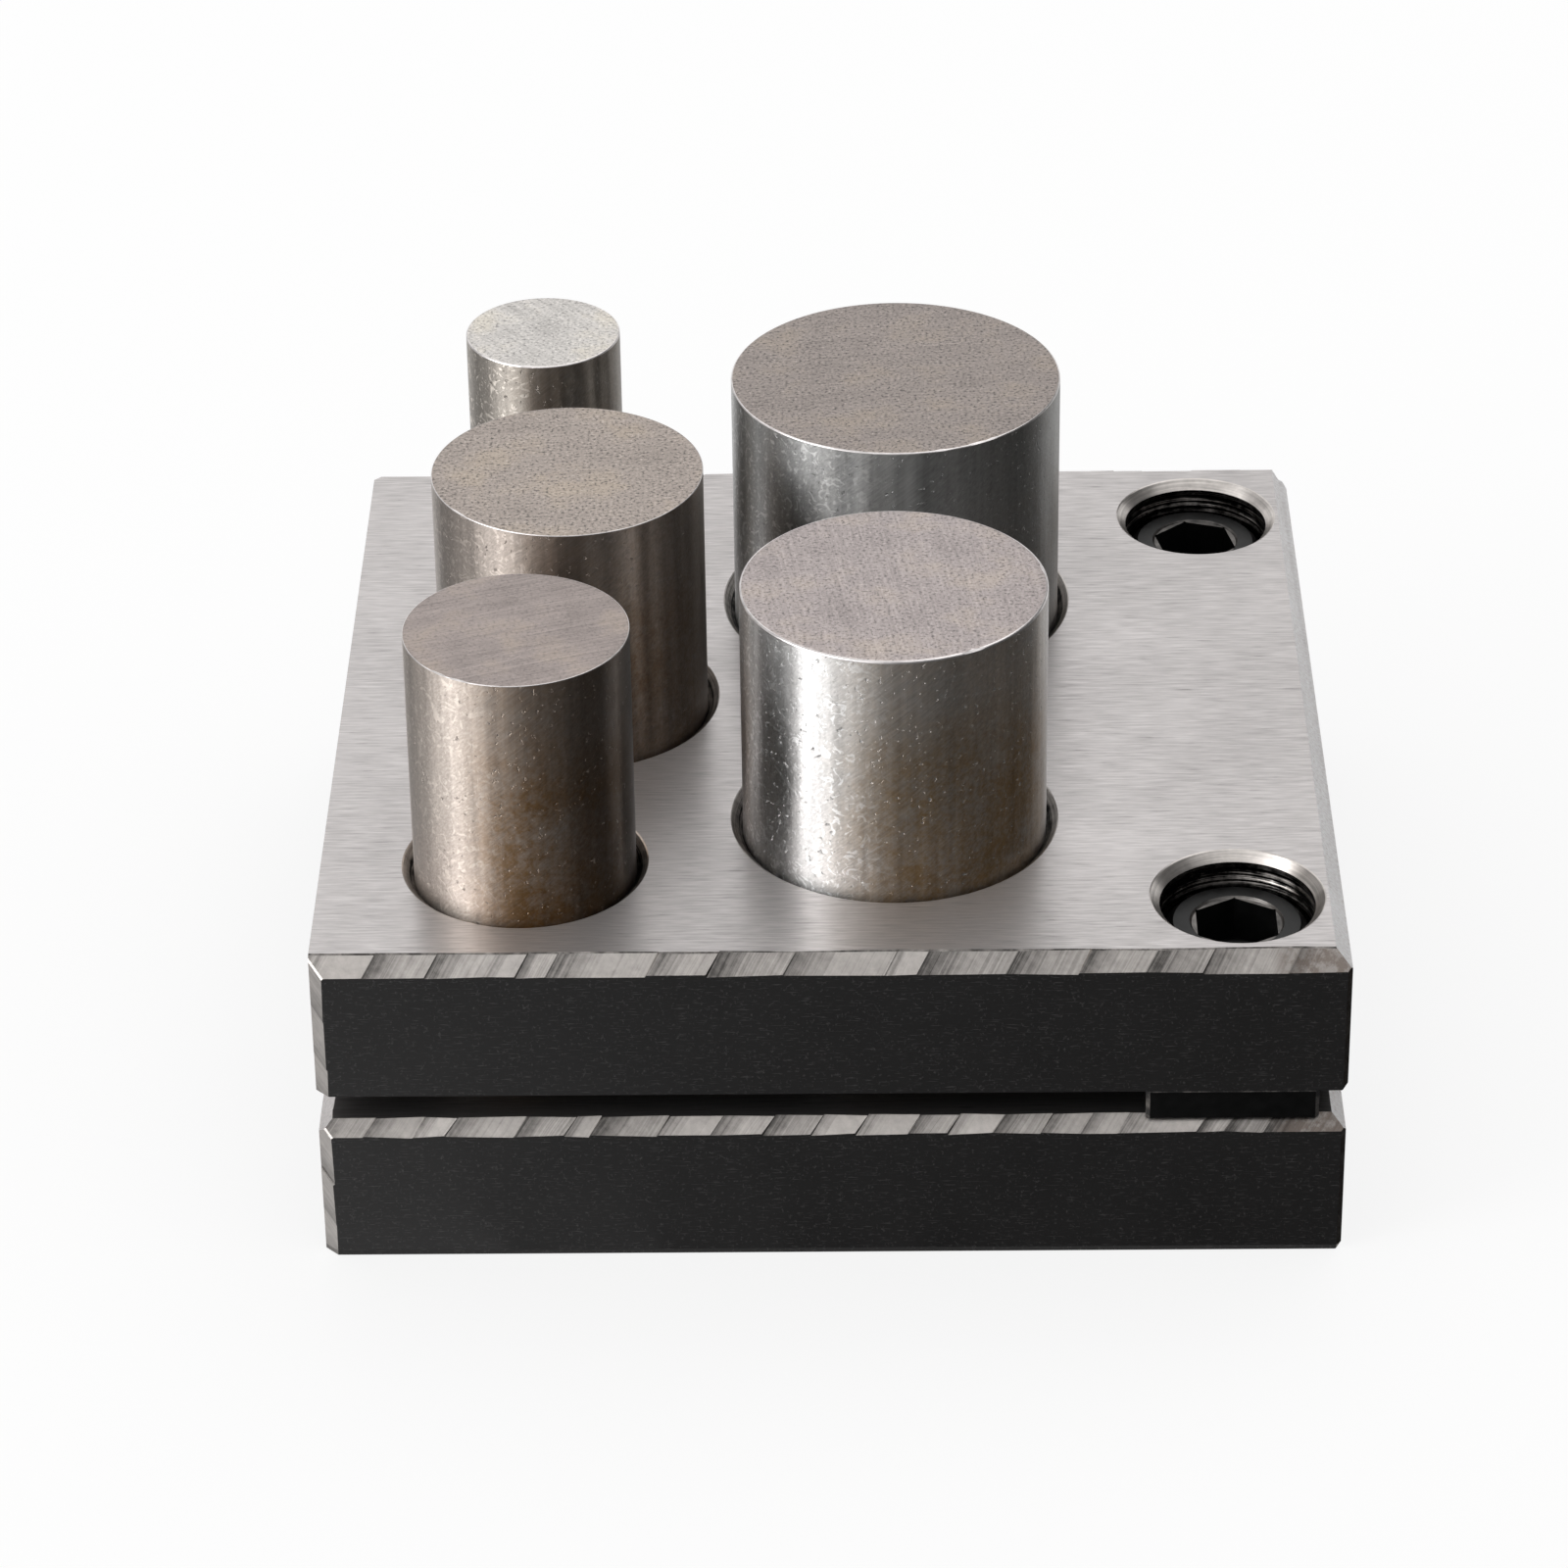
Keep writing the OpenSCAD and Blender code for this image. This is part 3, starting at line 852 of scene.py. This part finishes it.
def punch_end(node, look):
    """The struck end of a punch: ground flat, then pitted and clouded by use."""
    end = linear(look.end)
    finish, tree = blank_finish(node + "_ground_end")
    place = add_node(tree, COORDINATES).outputs["Object"]
    local = add_node(tree, MAPPING, {
        "Vector": place,
        "Location": (look.seed * SEED_STEP, 0, 0),
        "Scale": (1 / MM, 1 / MM, 1 / MM),
    })
    # Grinding lines 0.25 mm apart and 10 mm long
    drawn = add_node(tree, MAPPING, {
        "Vector": local, "Rotation": (0, 0, math.radians(look.grain)), "Scale": (10, 0.25, 1),
    }, vector_type="TEXTURE")
    lines = add_node(tree, NOISE, {"Vector": drawn, "Scale": 1, "Detail": 3, "Roughness": 0.65})
    grain = add_node(tree, NOISE, {"Vector": local, "Scale": 2.9, "Detail": 3, "Roughness": 0.6})
    clouds = add_node(tree, NOISE, {"Vector": local, "Scale": 0.15, "Detail": 4, "Roughness": 0.6})
    both = add_node(tree, MIX, {"Factor": 0.5, "A": lines, "B": clouds})
    both = add_node(tree, MIX, {"Factor": 0.4 * look.pits, "A": both, "B": grain})
    level = add_node(tree, RANGE, {"Value": both, "From Min": 0.35, "From Max": 0.65})
    tone = add_node(tree, MIX, {
        "Factor": level, "A": shade(end, 0.68), "B": shade(end, 1.32),
    }, data_type="RGBA")
    # Faint golden tint in patches
    golden = add_node(tree, RANGE, {
        "Value": clouds, "From Min": 0.5, "From Max": 0.66, "To Max": 0.55,
    })
    tone = add_node(tree, MIX, {
        "Factor": golden, "A": tone, "B": GOLDEN,
    }, data_type="RGBA", blend_type="MULTIPLY")
    # Dark pits 0.3 mm across, and bright specks between them
    for begins, full, share in ((0.45, 0.35, 0.3), (0.6, 0.72, 1.6)):
        marked = add_node(tree, RANGE, {
            "Value": grain, "From Min": begins, "From Max": full, "To Max": look.pits,
        })
        tone = add_node(tree, MIX, {
            "Factor": marked, "A": tone, "B": shade(end, share),
        }, data_type="RGBA")
    relief = add_node(tree, BUMP, {
        "Height": grain, "Strength": 0.5 * look.pits, "Distance": 0.03 * MM,
    })
    relief = add_node(tree, BUMP, {
        "Height": lines, "Strength": 0.4, "Distance": 0.006 * MM, "Normal": relief,
    })
    shader = add_node(tree, PRINCIPLED, {
        "Base Color": tone, "Metallic": 1.0, "Roughness": 0.36, "Normal": relief,
    })
    add_node(tree, OUTPUT, {"Surface": shader})
    return finish


# Pieces


def axis_of(node):
    """The middle and the radius of a round node."""
    low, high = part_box(node)
    return (low + high) / 2, (high.x - low.x) / 2


def hand_over(piece, nodes, body, angle):
    """Smooths a finished piece up to an angle, and lets it stand for its nodes and ride."""
    choose(piece)
    bpy.ops.object.shade_smooth_by_angle(angle=math.radians(angle))
    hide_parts(*nodes)
    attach(piece, body)


def plate_blank(name, low, high, edges, front_passes, slot_side, sizes, finishes, seed):
    """A plate with its edges milled, before its holes are cut."""
    plate = block(name, low, high)
    corners = (
        (LEFT, FRONT, sizes.front_left),
        (FRONT, RIGHT, sizes.front_right),
        (RIGHT, BACK, sizes.back_right),
        (BACK, LEFT, sizes.back_left),
    )
    for one, other, size in corners:
        mill_edge(plate, low, high, one, other, size)
    mill_edge(plate, low, high, DOWN, RIGHT, sizes.base_right_edge)
    sides = [(UP, side, size) for side, size in zip((FRONT, RIGHT, BACK, LEFT), edges) if size]
    for one, other, size in sides:
        mill_edge(plate, low, high, one, other, size)
    # Where several rules hold, the last one counts
    rules = {
        "ground": lambda normal: True,
        # The faces towards the slot take a copy painted dark, as painted shade between the plates
        "slot": lambda normal: normal.dot(slot_side) > 0.99,
        "scale": lambda normal: max(abs(normal.x), abs(normal.y)) > 0.99,
        # The chamfer on the right takes a copy painted bright, as a painted highlight
        "bright": lambda normal: normal.dot(UP + RIGHT) > 1.4,
        # The upright corner chamfers take a copy painted darker, as painted shade
        "dull": lambda normal: 0.5 < abs(normal.y) < 0.9,
        "milled": lambda normal: abs(normal.x) < 0.1 < abs(normal.z) < 0.9,
    }
    for key, rule in rules.items():
        finish_faces(plate, finishes[key], rule)
    for number, (one, other, size) in enumerate((*sides, *corners)):
        if one == UP and other == RIGHT:
            continue
        cuts = even_passes(low, high, one, other, seed + number)
        if other == FRONT and one == UP:
            cuts = [cut * MM for cut in front_passes]
        mill_passes(plate, low, high, one, other, size, cuts, sizes, seed + number)
    return plate


class DISC_CUTTER_OT_stage(bpy.types.Operator):
    """Sets up the floor, the lamps, the world and the camera"""

    bl_idname = "disc_cutter.stage"
    bl_label = "Stage"

    def execute(self, context):
        scene = context.scene
        scene.view_settings.view_transform = "Standard"
        self.add_camera(scene)
        self.add_world(scene)
        self.add_floor()
        self.add_lamp(
            scene, "key", place=(-900, -480, 420), aim=(0, 0, 30), size=(0.45, 0.5), watts=2.2,
        )
        self.add_lamp(
            scene, "fill", place=(150, 650, 950), aim=(0, 0, 20), size=(0.9, 0.6), watts=1.5,
        )
        self.add_surround(scene)
        return {"FINISHED"}

    def add_camera(self, scene):
        """The photograph's view, for a square picture."""
        data = bpy.data.cameras.new("camera")
        data.sensor_width = 36
        data.lens = 134.93
        data.clip_start = 0.01
        data.clip_end = 20
        camera = bpy.data.objects.new("camera", data)
        scene.collection.objects.link(camera)
        place = Vector((2.619, -529.305, 344.853)) * MM
        heading, below_level, roll = math.radians(0.816), math.radians(31.224), math.radians(-0.837)
        camera.matrix_world = (
            Matrix.Translation(place)
            @ Matrix.Rotation(heading, 4, "Z")
            @ Matrix.Rotation(math.pi / 2 - below_level, 4, "X")
            @ Matrix.Rotation(roll, 4, "Z")
        )
        scene.camera = camera

    def add_world(self, scene):
        """A white studio, which lights the object evenly and shows white behind it."""
        scene.world = bpy.data.worlds.new("studio")
        scene.world.use_nodes = True
        tree = scene.world.node_tree
        tree.nodes.clear()
        shown = shown_to_eye(tree)
        strength = add_node(tree, RANGE, {
            "Value": shown, "To Min": WORLD_LIGHT, "To Max": WORLD_SEEN,
        })
        sky = add_node(tree, "ShaderNodeBackground", {"Color": WHITE, "Strength": strength})
        add_node(tree, "ShaderNodeOutputWorld", {"Surface": sky})

    def add_floor(self):
        """A plain white floor, which keeps the object's shadow."""
        deselect()
        bpy.ops.mesh.primitive_plane_add(size=8)
        floor = bpy.context.object
        floor.name = "floor"
        finish, tree = blank_finish("white_paper")
        shown = shown_to_eye(tree)
        glow = add_node(tree, MATH, {0: shown, 1: PAPER_GLOW}, operation="MULTIPLY")
        paper = add_node(tree, "ShaderNodeBsdfDiffuse", {"Color": PAPER_GREY})
        light = add_node(tree, EMISSION, {"Color": WHITE, "Strength": glow})
        both = add_node(tree, "ShaderNodeAddShader", {0: paper, 1: light})
        add_node(tree, OUTPUT, {"Surface": both})
        floor.data.materials.append(finish)

    def add_lamp(self, scene, name, place, aim, size, watts):
        """A soft box at a place in mm, turned to what it lights."""
        data = bpy.data.lights.new(name, "AREA")
        data.shape = "RECTANGLE"
        data.size, data.size_y = size
        data.energy = watts
        lamp = bpy.data.objects.new(name, data)
        scene.collection.objects.link(lamp)
        lamp.location = Vector(place) * MM
        lamp.rotation_euler = (Vector(place) - Vector(aim)).to_track_quat("Z", "Y").to_euler()

    def add_surround(self, scene):
        """A studio's bright and dark sides, as a floor and a wall that only gloss shows."""
        rings = [[], [], [], []]
        for azimuth, floor, wall, foot in SURROUND:
            turn = math.radians(azimuth)
            out = Vector((math.sin(turn), -math.cos(turn), 0))
            lift = UP * CARD_LIFT
            rings[0].append((out * CARD_START + lift, min(floor, wall + CARD_START_RISE)))
            rings[1].append((out * WALL_AWAY + lift, floor))
            rings[2].append((out * WALL_AWAY + lift + UP * foot * MM, wall))
            rings[3].append((out * WALL_AWAY + UP * WALL_TOP, wall))
        count = len(SURROUND)
        faces = []
        for ring in (0, 2):
            for step in range(count - 1):
                first = ring * count + step
                faces.append((first, first + 1, first + count + 1, first + count))
        mesh = bpy.data.meshes.new("surround")
        mesh.from_pydata([spot for ring in rings for spot, level in ring], [], faces)
        levels = mesh.attributes.new("level", "FLOAT", "POINT")
        levels.data.foreach_set("value", [level for ring in rings for spot, level in ring])
        card = bpy.data.objects.new("surround", mesh)
        scene.collection.objects.link(card)
        finish, tree = blank_finish("studio_surround")
        level = add_node(tree, ATTRIBUTE, attribute_name="level")
        glow = add_node(tree, EMISSION, {"Color": WHITE, "Strength": level.outputs["Fac"]})
        add_node(tree, OUTPUT, {"Surface": glow})
        mesh.materials.append(finish)
        card.visible_camera = False
        card.visible_diffuse = False
        card.visible_shadow = False
        card.visible_transmission = False


def shown_to_eye(tree):
    """One for rays from the camera, from gloss and through glass, and nought for the rest."""
    path = add_node(tree, "ShaderNodeLightPath").outputs
    seen = path["Is Camera Ray"]
    for ray in ("Is Glossy Ray", "Is Transmission Ray"):
        seen = add_node(tree, MATH, {0: seen, 1: path[ray]}, operation="MAXIMUM")
    return seen


def shared_finishes(colours):
    """The finishes that several pieces share, each made once, under short names."""
    ground, scale, milled, oxide = colours.ground, colours.scale, colours.milled, colours.oxide
    recipes = {
        "ground": (ground_steel, "surface_ground_tool_steel", ground),
        # The faces towards the slot between the plates: ground steel painted dark, as painted shade
        "slot": (ground_steel, "oily_ground_tool_steel", shade(ground, 0.3)),
        # The right chamfer: ground steel painted twice as bright, as a painted highlight
        "bright": (ground_steel, "bright_ground_tool_steel", shade(ground, 2.0)),
        "scale": (mill_scale, "black_mill_scale", scale),
        "milled": (
            milled_steel, "end_milled_tool_steel",
            shade(milled, 0.18), shade(milled, 1.25), colours.handling,
        ),
        # The upright corner chamfers: milled steel painted darker, as painted shade
        "dull": (
            milled_steel, "dull_milled_tool_steel",
            shade(milled, 0.3), shade(milled, 0.66), colours.handling,
        ),
        # Bare steel on a worn arris, bright in places and still black in others
        "worn": (
            patchy_steel, "worn_steel_arris",
            900, (0.45, 0.62), shade(scale, 1.2), shade(milled, 0.55), 0.4,
        ),
        # The burr between the ground top and the milled chamfer, a dark uneven line
        "burr": (
            patchy_steel, "burred_steel_edge",
            500, (0.4, 0.75), shade(milled, 0.16), shade(milled, 0.9), 0.5, 1.0,
        ),
        "mouth": (turned_steel, "countersunk_steel", shade(milled, 0.9), shade(milled, 1.7), 0.3),
        # The upper half of a punch hole's countersink: painted dark, as painted shade round the
        # punch
        "hole_mouth": (
            turned_steel, "oily_countersunk_steel",
            shade(milled, 0.35), shade(milled, 1.5), 0.42, 0.02,
        ),
        "bore": (
            turned_steel, "oily_bored_steel", shade(oxide, 0.3), shade(milled, 1.6), 0.3, 0.12,
        ),
        "pin": (turned_steel, "ground_pin_steel", shade(ground, 0.8), shade(ground, 1.1), 0.22),
        "rim": (turned_steel, "bright_rim_steel", shade(ground, 0.8), shade(ground, 1.8), 0.3),
        "lip": (turned_steel, "worn_socket_edge", shade(oxide, 2.0), shade(milled, 0.5), 0.35),
        "oxide": (black_oxide, "oiled_black_oxide", oxide),
    }
    return {
        key: bpy.data.materials.get(name) or maker(name, *values)
        for key, (maker, name, *values) in recipes.items()
    }


def wear_edges(plate, finish, width, rule):
    """Wears the edges that a rule holds for down to strips."""
    index = finish_index(plate, finish)
    with shaping(plate):
        pick(plate, "edges", rule)
        bpy.ops.mesh.bevel(
            offset_type="WIDTH",
            offset=width,
            segments=1,
            affect="EDGES",
            clamp_overlap=False,
            material=index,
        )


class DISC_CUTTER_OT_upper_plate(bpy.types.Operator):
    """Mills and drills the upper plate, which guides the punches"""

    bl_idname = "disc_cutter.upper_plate"
    bl_label = "Upper Plate"

    def execute(self, context):
        sizes = context.scene.disc_cutter_plates
        screw = context.scene.disc_cutter_screws
        finishes = shared_finishes(context.scene.disc_cutter_colours)
        wall, mouth, shaded_mouth = finishes["bore"], finishes["mouth"], finishes["hole_mouth"]
        low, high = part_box("upper_plate")
        edges = (sizes.upper_edge, sizes.upper_right_edge, sizes.upper_edge, 0)
        plate = plate_blank(
            "guide_plate", low, high, edges, UPPER_FRONT_PASSES, DOWN, sizes, finishes, 10,
        )
        wear_edges(plate, finishes["burr"], sizes.burr, lambda edge: top_edge(edge, high, FRONT))
        wear_edges(
            plate, finishes["mouth"], sizes.corner_arris, lambda edge: corner_edge(edge, low, high),
        )
        for node in PUNCHES:
            centre, radius = axis_of(node)
            bore = radius + sizes.punch_fit
            cut_away(plate, turned("punch_hole", centre, [
                (low.z - OVERRUN, bore, wall),
                (high.z - sizes.mouth_edge, bore, wall),
                # The countersink's lower half takes the dark bore finish and its upper half the
                # darkened mouth finish, both painted shade in the gap round the punch
                (high.z - sizes.mouth_edge / 2, bore + sizes.mouth_edge / 2, wall),
                (high.z - sizes.arris, bore + sizes.mouth_edge - sizes.arris, shaded_mouth),
                (high.z, bore + sizes.mouth_edge + sizes.arris, mouth),
                (high.z + OVERRUN, bore + sizes.mouth_edge + sizes.arris, mouth),
            ]))
        for node in SCREWS:
            centre, radius = axis_of(node)
            bore = radius + sizes.head_clearance
            neck = screw.thread_dia / 2 + sizes.neck_clearance
            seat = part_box(node)[1].z - screw.head_height
            base = high.z - sizes.counterbore_edge
            ridges = [(base - depth * MM, bore + out * MM, wall) for depth, out in RIDGES]
            cut_away(plate, turned("counterbore", centre, [
                (low.z - OVERRUN, neck, wall),
                (seat, neck, wall),
                (seat, bore, wall),
                *ridges,
                (base, bore, wall),
                (high.z - sizes.arris, bore + sizes.counterbore_edge - sizes.arris, mouth),
                (high.z, bore + sizes.counterbore_edge + sizes.arris, mouth),
                (high.z + OVERRUN, bore + sizes.counterbore_edge + sizes.arris, mouth),
            ]))
        for node in DOWELS:
            centre, radius = axis_of(node)
            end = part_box(node)[1].z + sizes.dowel_play
            cut_away(plate, turned("dowel_hole", centre, [
                (low.z - OVERRUN, radius + sizes.dowel_fit, wall),
                (end, radius + sizes.dowel_fit, wall),
            ], 64))
        hand_over(plate, ("upper_plate",), BODY, 4)
        return {"FINISHED"}


class DISC_CUTTER_OT_lower_plate(bpy.types.Operator):
    """Mills and drills the lower plate, which holds the dies"""

    bl_idname = "disc_cutter.lower_plate"
    bl_label = "Lower Plate"

    def execute(self, context):
        sizes = context.scene.disc_cutter_plates
        screw = context.scene.disc_cutter_screws
        finishes = shared_finishes(context.scene.disc_cutter_colours)
        wall = finishes["bore"]
        low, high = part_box("lower_plate")
        edges = [sizes.lower_edge] * 4
        plate = plate_blank(
            "die_plate", low, high, edges, LOWER_FRONT_PASSES, UP, sizes, finishes, 40,
        )
        wear_edges(
            plate, finishes["mouth"], sizes.corner_arris, lambda edge: corner_edge(edge, low, high),
        )
        for node in PUNCHES:
            centre, radius = axis_of(node)
            bore = radius + sizes.punch_fit
            cut_away(plate, turned("die", centre, [
                (low.z - OVERRUN, bore + sizes.die_relief, wall),
                (high.z - sizes.die_land, bore + sizes.die_relief, wall),
                (high.z - sizes.die_land, bore, wall),
                (high.z + OVERRUN, bore, wall),
            ]))
        for node in SCREWS:
            centre, _ = axis_of(node)
            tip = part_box(node)[0].z
            outer = screw.thread_dia / 2 + sizes.thread_fit
            inner = outer - screw.thread_depth
            first = tip - 3 * screw.thread_pitch
            turns = math.floor((high.z - first) / screw.thread_pitch)
            rows = [(first, inner, wall)]
            for half in range(1, 2 * turns + 1):
                radius = outer if half % 2 else inner
                rows.append((first + half * screw.thread_pitch / 2, radius, wall))
            rows.append((high.z - screw.thread_pitch / 4, outer, wall))
            rows.append((high.z + OVERRUN, outer, wall))
            cut_away(plate, turned("tapped_hole", centre, rows, 72))
        for node in DOWELS:
            centre, radius = axis_of(node)
            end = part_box(node)[0].z - sizes.dowel_play
            cut_away(plate, turned("dowel_hole", centre, [
                (end, radius + sizes.dowel_fit, wall),
                (high.z + OVERRUN, radius + sizes.dowel_fit, wall),
            ], 64))
        hand_over(plate, ("lower_plate",), BODY, 4)
        return {"FINISHED"}


class DISC_CUTTER_OT_spacer_bar(bpy.types.Operator):
    """Mills the spacer bar between the plates"""

    bl_idname = "disc_cutter.spacer_bar"
    bl_label = "Spacer Bar"

    def execute(self, context):
        sizes = context.scene.disc_cutter_plates
        screw = context.scene.disc_cutter_screws
        finishes = shared_finishes(context.scene.disc_cutter_colours)
        low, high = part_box("spacer_bar")
        bar = block("spacer", low, high)
        for one, other in ((LEFT, FRONT), (FRONT, RIGHT), (RIGHT, BACK), (BACK, LEFT)):
            mill_edge(bar, low, high, one, other, sizes.spacer_edge)
        for side in (FRONT, RIGHT, BACK, LEFT):
            mill_edge(bar, low, high, UP, side, sizes.spacer_edge)
        finish_faces(bar, finishes["oxide"], lambda normal: True)
        finish_faces(bar, finishes["worn"], lambda normal: max(abs(part) for part in normal) < 0.9)
        wear_edges(
            bar, finishes["worn"], sizes.spacer_arris, lambda edge: (
                len(edge.link_faces) == 2
                and min(face.normal.y for face in edge.link_faces) < -0.99
                and 0.5 < max(face.normal.z for face in edge.link_faces) < 0.9
            ),
        )
        for node in (*SCREWS, *DOWELS):
            centre, radius = axis_of(node)
            bore = radius + sizes.dowel_fit
            if node in SCREWS:
                bore = screw.thread_dia / 2 + sizes.neck_clearance
            cut_away(bar, turned("bar_hole", centre, [
                (low.z - OVERRUN, bore, finishes["bore"]),
                (high.z + OVERRUN, bore, finishes["bore"]),
            ], 72))
        hand_over(bar, ("spacer_bar",), BODY, 8)
        return {"FINISHED"}


class DISC_CUTTER_OT_dowel_pins(bpy.types.Operator):
    """Finishes the dowel pins, whose shape the frame already has"""

    bl_idname = "disc_cutter.dowel_pins"
    bl_label = "Dowel Pins"

    def execute(self, context):
        finishes = shared_finishes(context.scene.disc_cutter_colours)
        for node in DOWELS:
            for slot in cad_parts[node].material_slots:
                slot.material = finishes["pin"]
        return {"FINISHED"}


class DISC_CUTTER_OT_cap_screws(bpy.types.Operator):
    """Turns the two socket head cap screws"""

    bl_idname = "disc_cutter.cap_screws"
    bl_label = "Cap Screws"

    def execute(self, context):
        sizes = context.scene.disc_cutter_screws
        finishes = shared_finishes(context.scene.disc_cutter_colours)
        oxide, worn = finishes["oxide"], finishes["lip"]
        crest = sizes.thread_dia / 2
        root = crest - sizes.thread_depth
        for node, turn in SCREWS.items():
            centre, head = axis_of(node)
            low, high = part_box(node)
            seat = high.z - sizes.head_height
            thread = [
                (low.z + half * sizes.thread_pitch / 2, crest if half % 2 else root, oxide)
                for half in range(2 * sizes.thread_turns + 1)
            ]
            screw = turned(node + "_turned", centre, [
                *thread,
                (seat, root, oxide),
                (seat, head, oxide),
                (high.z - sizes.head_edge, head, oxide),
                (high.z, head - sizes.head_edge, oxide),
            ], sizes.flutes)
            with shaping(screw):
                pick(screw, "faces", lambda face: (
                    abs(face.normal.z) < 0.01
                    and seat < face.calc_center_median().z < high.z - sizes.head_edge
                ))
                bpy.ops.mesh.inset(
                    thickness=sizes.flute_depth / 2,
                    depth=-sizes.flute_depth,
                    use_individual=True,
                )
            points = sizes.socket_flats / math.sqrt(3)
            floor = high.z - sizes.socket_depth
            lip = sizes.socket_lip
            # The hexagon was broached into a drilled hole, whose cone is left at its floor
            drill, cone = 0.86 * points, 0.35 * points
            cut_away(
                screw,
                turned("hexagon", centre, [
                    (floor, points, oxide),
                    (high.z + OVERRUN, points, oxide),
                ], 6, math.radians(turn)),
                turned("drill_point", centre, [
                    (floor - cone, 0.02 * points, oxide),
                    (floor, drill, oxide),
                    (floor + OVERRUN, drill, oxide),
                ], 48),
                turned("socket_mouth", centre, [
                    (high.z - lip, points - lip / 2, worn),
                    (high.z, points + lip / 2, worn),
                    (high.z + OVERRUN, points + lip / 2, worn),
                ], 72),
            )
            hand_over(screw, (node,), node, 12)
        return {"FINISHED"}


class DISC_CUTTER_OT_punches(bpy.types.Operator):
    """Turns the five punches, each with its own wear"""

    bl_idname = "disc_cutter.punches"
    bl_label = "Punches"

    def execute(self, context):
        sizes = context.scene.disc_cutter_punches
        colours = context.scene.disc_cutter_colours
        rim_finish = shared_finishes(colours)["rim"]
        for node, look in PUNCHES.items():
            centre, radius = axis_of(node)
            low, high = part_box(node)
            side = punch_side(node, look, colours)
            end = punch_end(node, look)
            size = sizes.rim * look.rim
            rim = [
                (
                    high.z - size * (1 - math.sin(turn)),
                    radius - size * (1 - math.cos(turn)),
                    rim_finish,
                )
                for turn in (math.radians(22.5 * step) for step in range(1, 5))
            ]
            punch = turned(node + "_turned", centre, [
                (low.z, radius - sizes.cutting_edge, end),
                (low.z + sizes.cutting_edge, radius, side),
                (high.z - size, radius, side),
                *rim,
                (high.z, radius - 3 * size, end),
                (high.z, 0, end),
            ], 144)
            with shaping(punch):
                for azimuth in look.chips:
                    turn = math.radians(azimuth)
                    spot = Vector((math.cos(turn), math.sin(turn), 0)) * radius + centre
                    pick(punch, "verts", lambda vert: (
                        vert.co.z > high.z - 0.6 * size
                        and (vert.co - spot).xy.length < sizes.chip_reach
                    ))
                    bpy.ops.transform.translate(value=(centre - spot).normalized() * sizes.chip)
            hand_over(punch, (node,), node, 30)
        return {"FINISHED"}


class DISC_CUTTER_PT_panel(bpy.types.Panel):
    """Lists the steps that dress the disc cutter"""

    bl_idname = "DISC_CUTTER_PT_panel"
    bl_label = "Disc Cutter"
    bl_space_type = "VIEW_3D"
    bl_region_type = "UI"
    bl_category = "Disc Cutter"

    def draw(self, context):
        for step in STEPS:
            self.layout.operator(step.bl_idname)


STEPS = (
    DISC_CUTTER_OT_stage,
    DISC_CUTTER_OT_lower_plate,
    DISC_CUTTER_OT_upper_plate,
    DISC_CUTTER_OT_spacer_bar,
    DISC_CUTTER_OT_dowel_pins,
    DISC_CUTTER_OT_cap_screws,
    DISC_CUTTER_OT_punches,
)
GROUPS = {
    "disc_cutter_plates": PlateSizes,
    "disc_cutter_screws": ScrewSizes,
    "disc_cutter_punches": PunchSizes,
    "disc_cutter_colours": FinishColours,
}


def register():
    for name, group in GROUPS.items():
        bpy.utils.register_class(group)
        setattr(bpy.types.Scene, name, PointerProperty(type=group))
    for step in STEPS:
        bpy.utils.register_class(step)
    bpy.utils.register_class(DISC_CUTTER_PT_panel)


def unregister():
    bpy.utils.unregister_class(DISC_CUTTER_PT_panel)
    for step in reversed(STEPS):
        bpy.utils.unregister_class(step)
    for name, group in reversed(GROUPS.items()):
        delattr(bpy.types.Scene, name)
        bpy.utils.unregister_class(group)


def main():
    """Makes every piece."""
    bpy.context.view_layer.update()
    register()
    bpy.ops.disc_cutter.stage()
    bpy.ops.disc_cutter.lower_plate()
    bpy.ops.disc_cutter.upper_plate()
    bpy.ops.disc_cutter.spacer_bar()
    bpy.ops.disc_cutter.dowel_pins()
    bpy.ops.disc_cutter.cap_screws()
    bpy.ops.disc_cutter.punches()


if __name__ == "__main__":
    main()
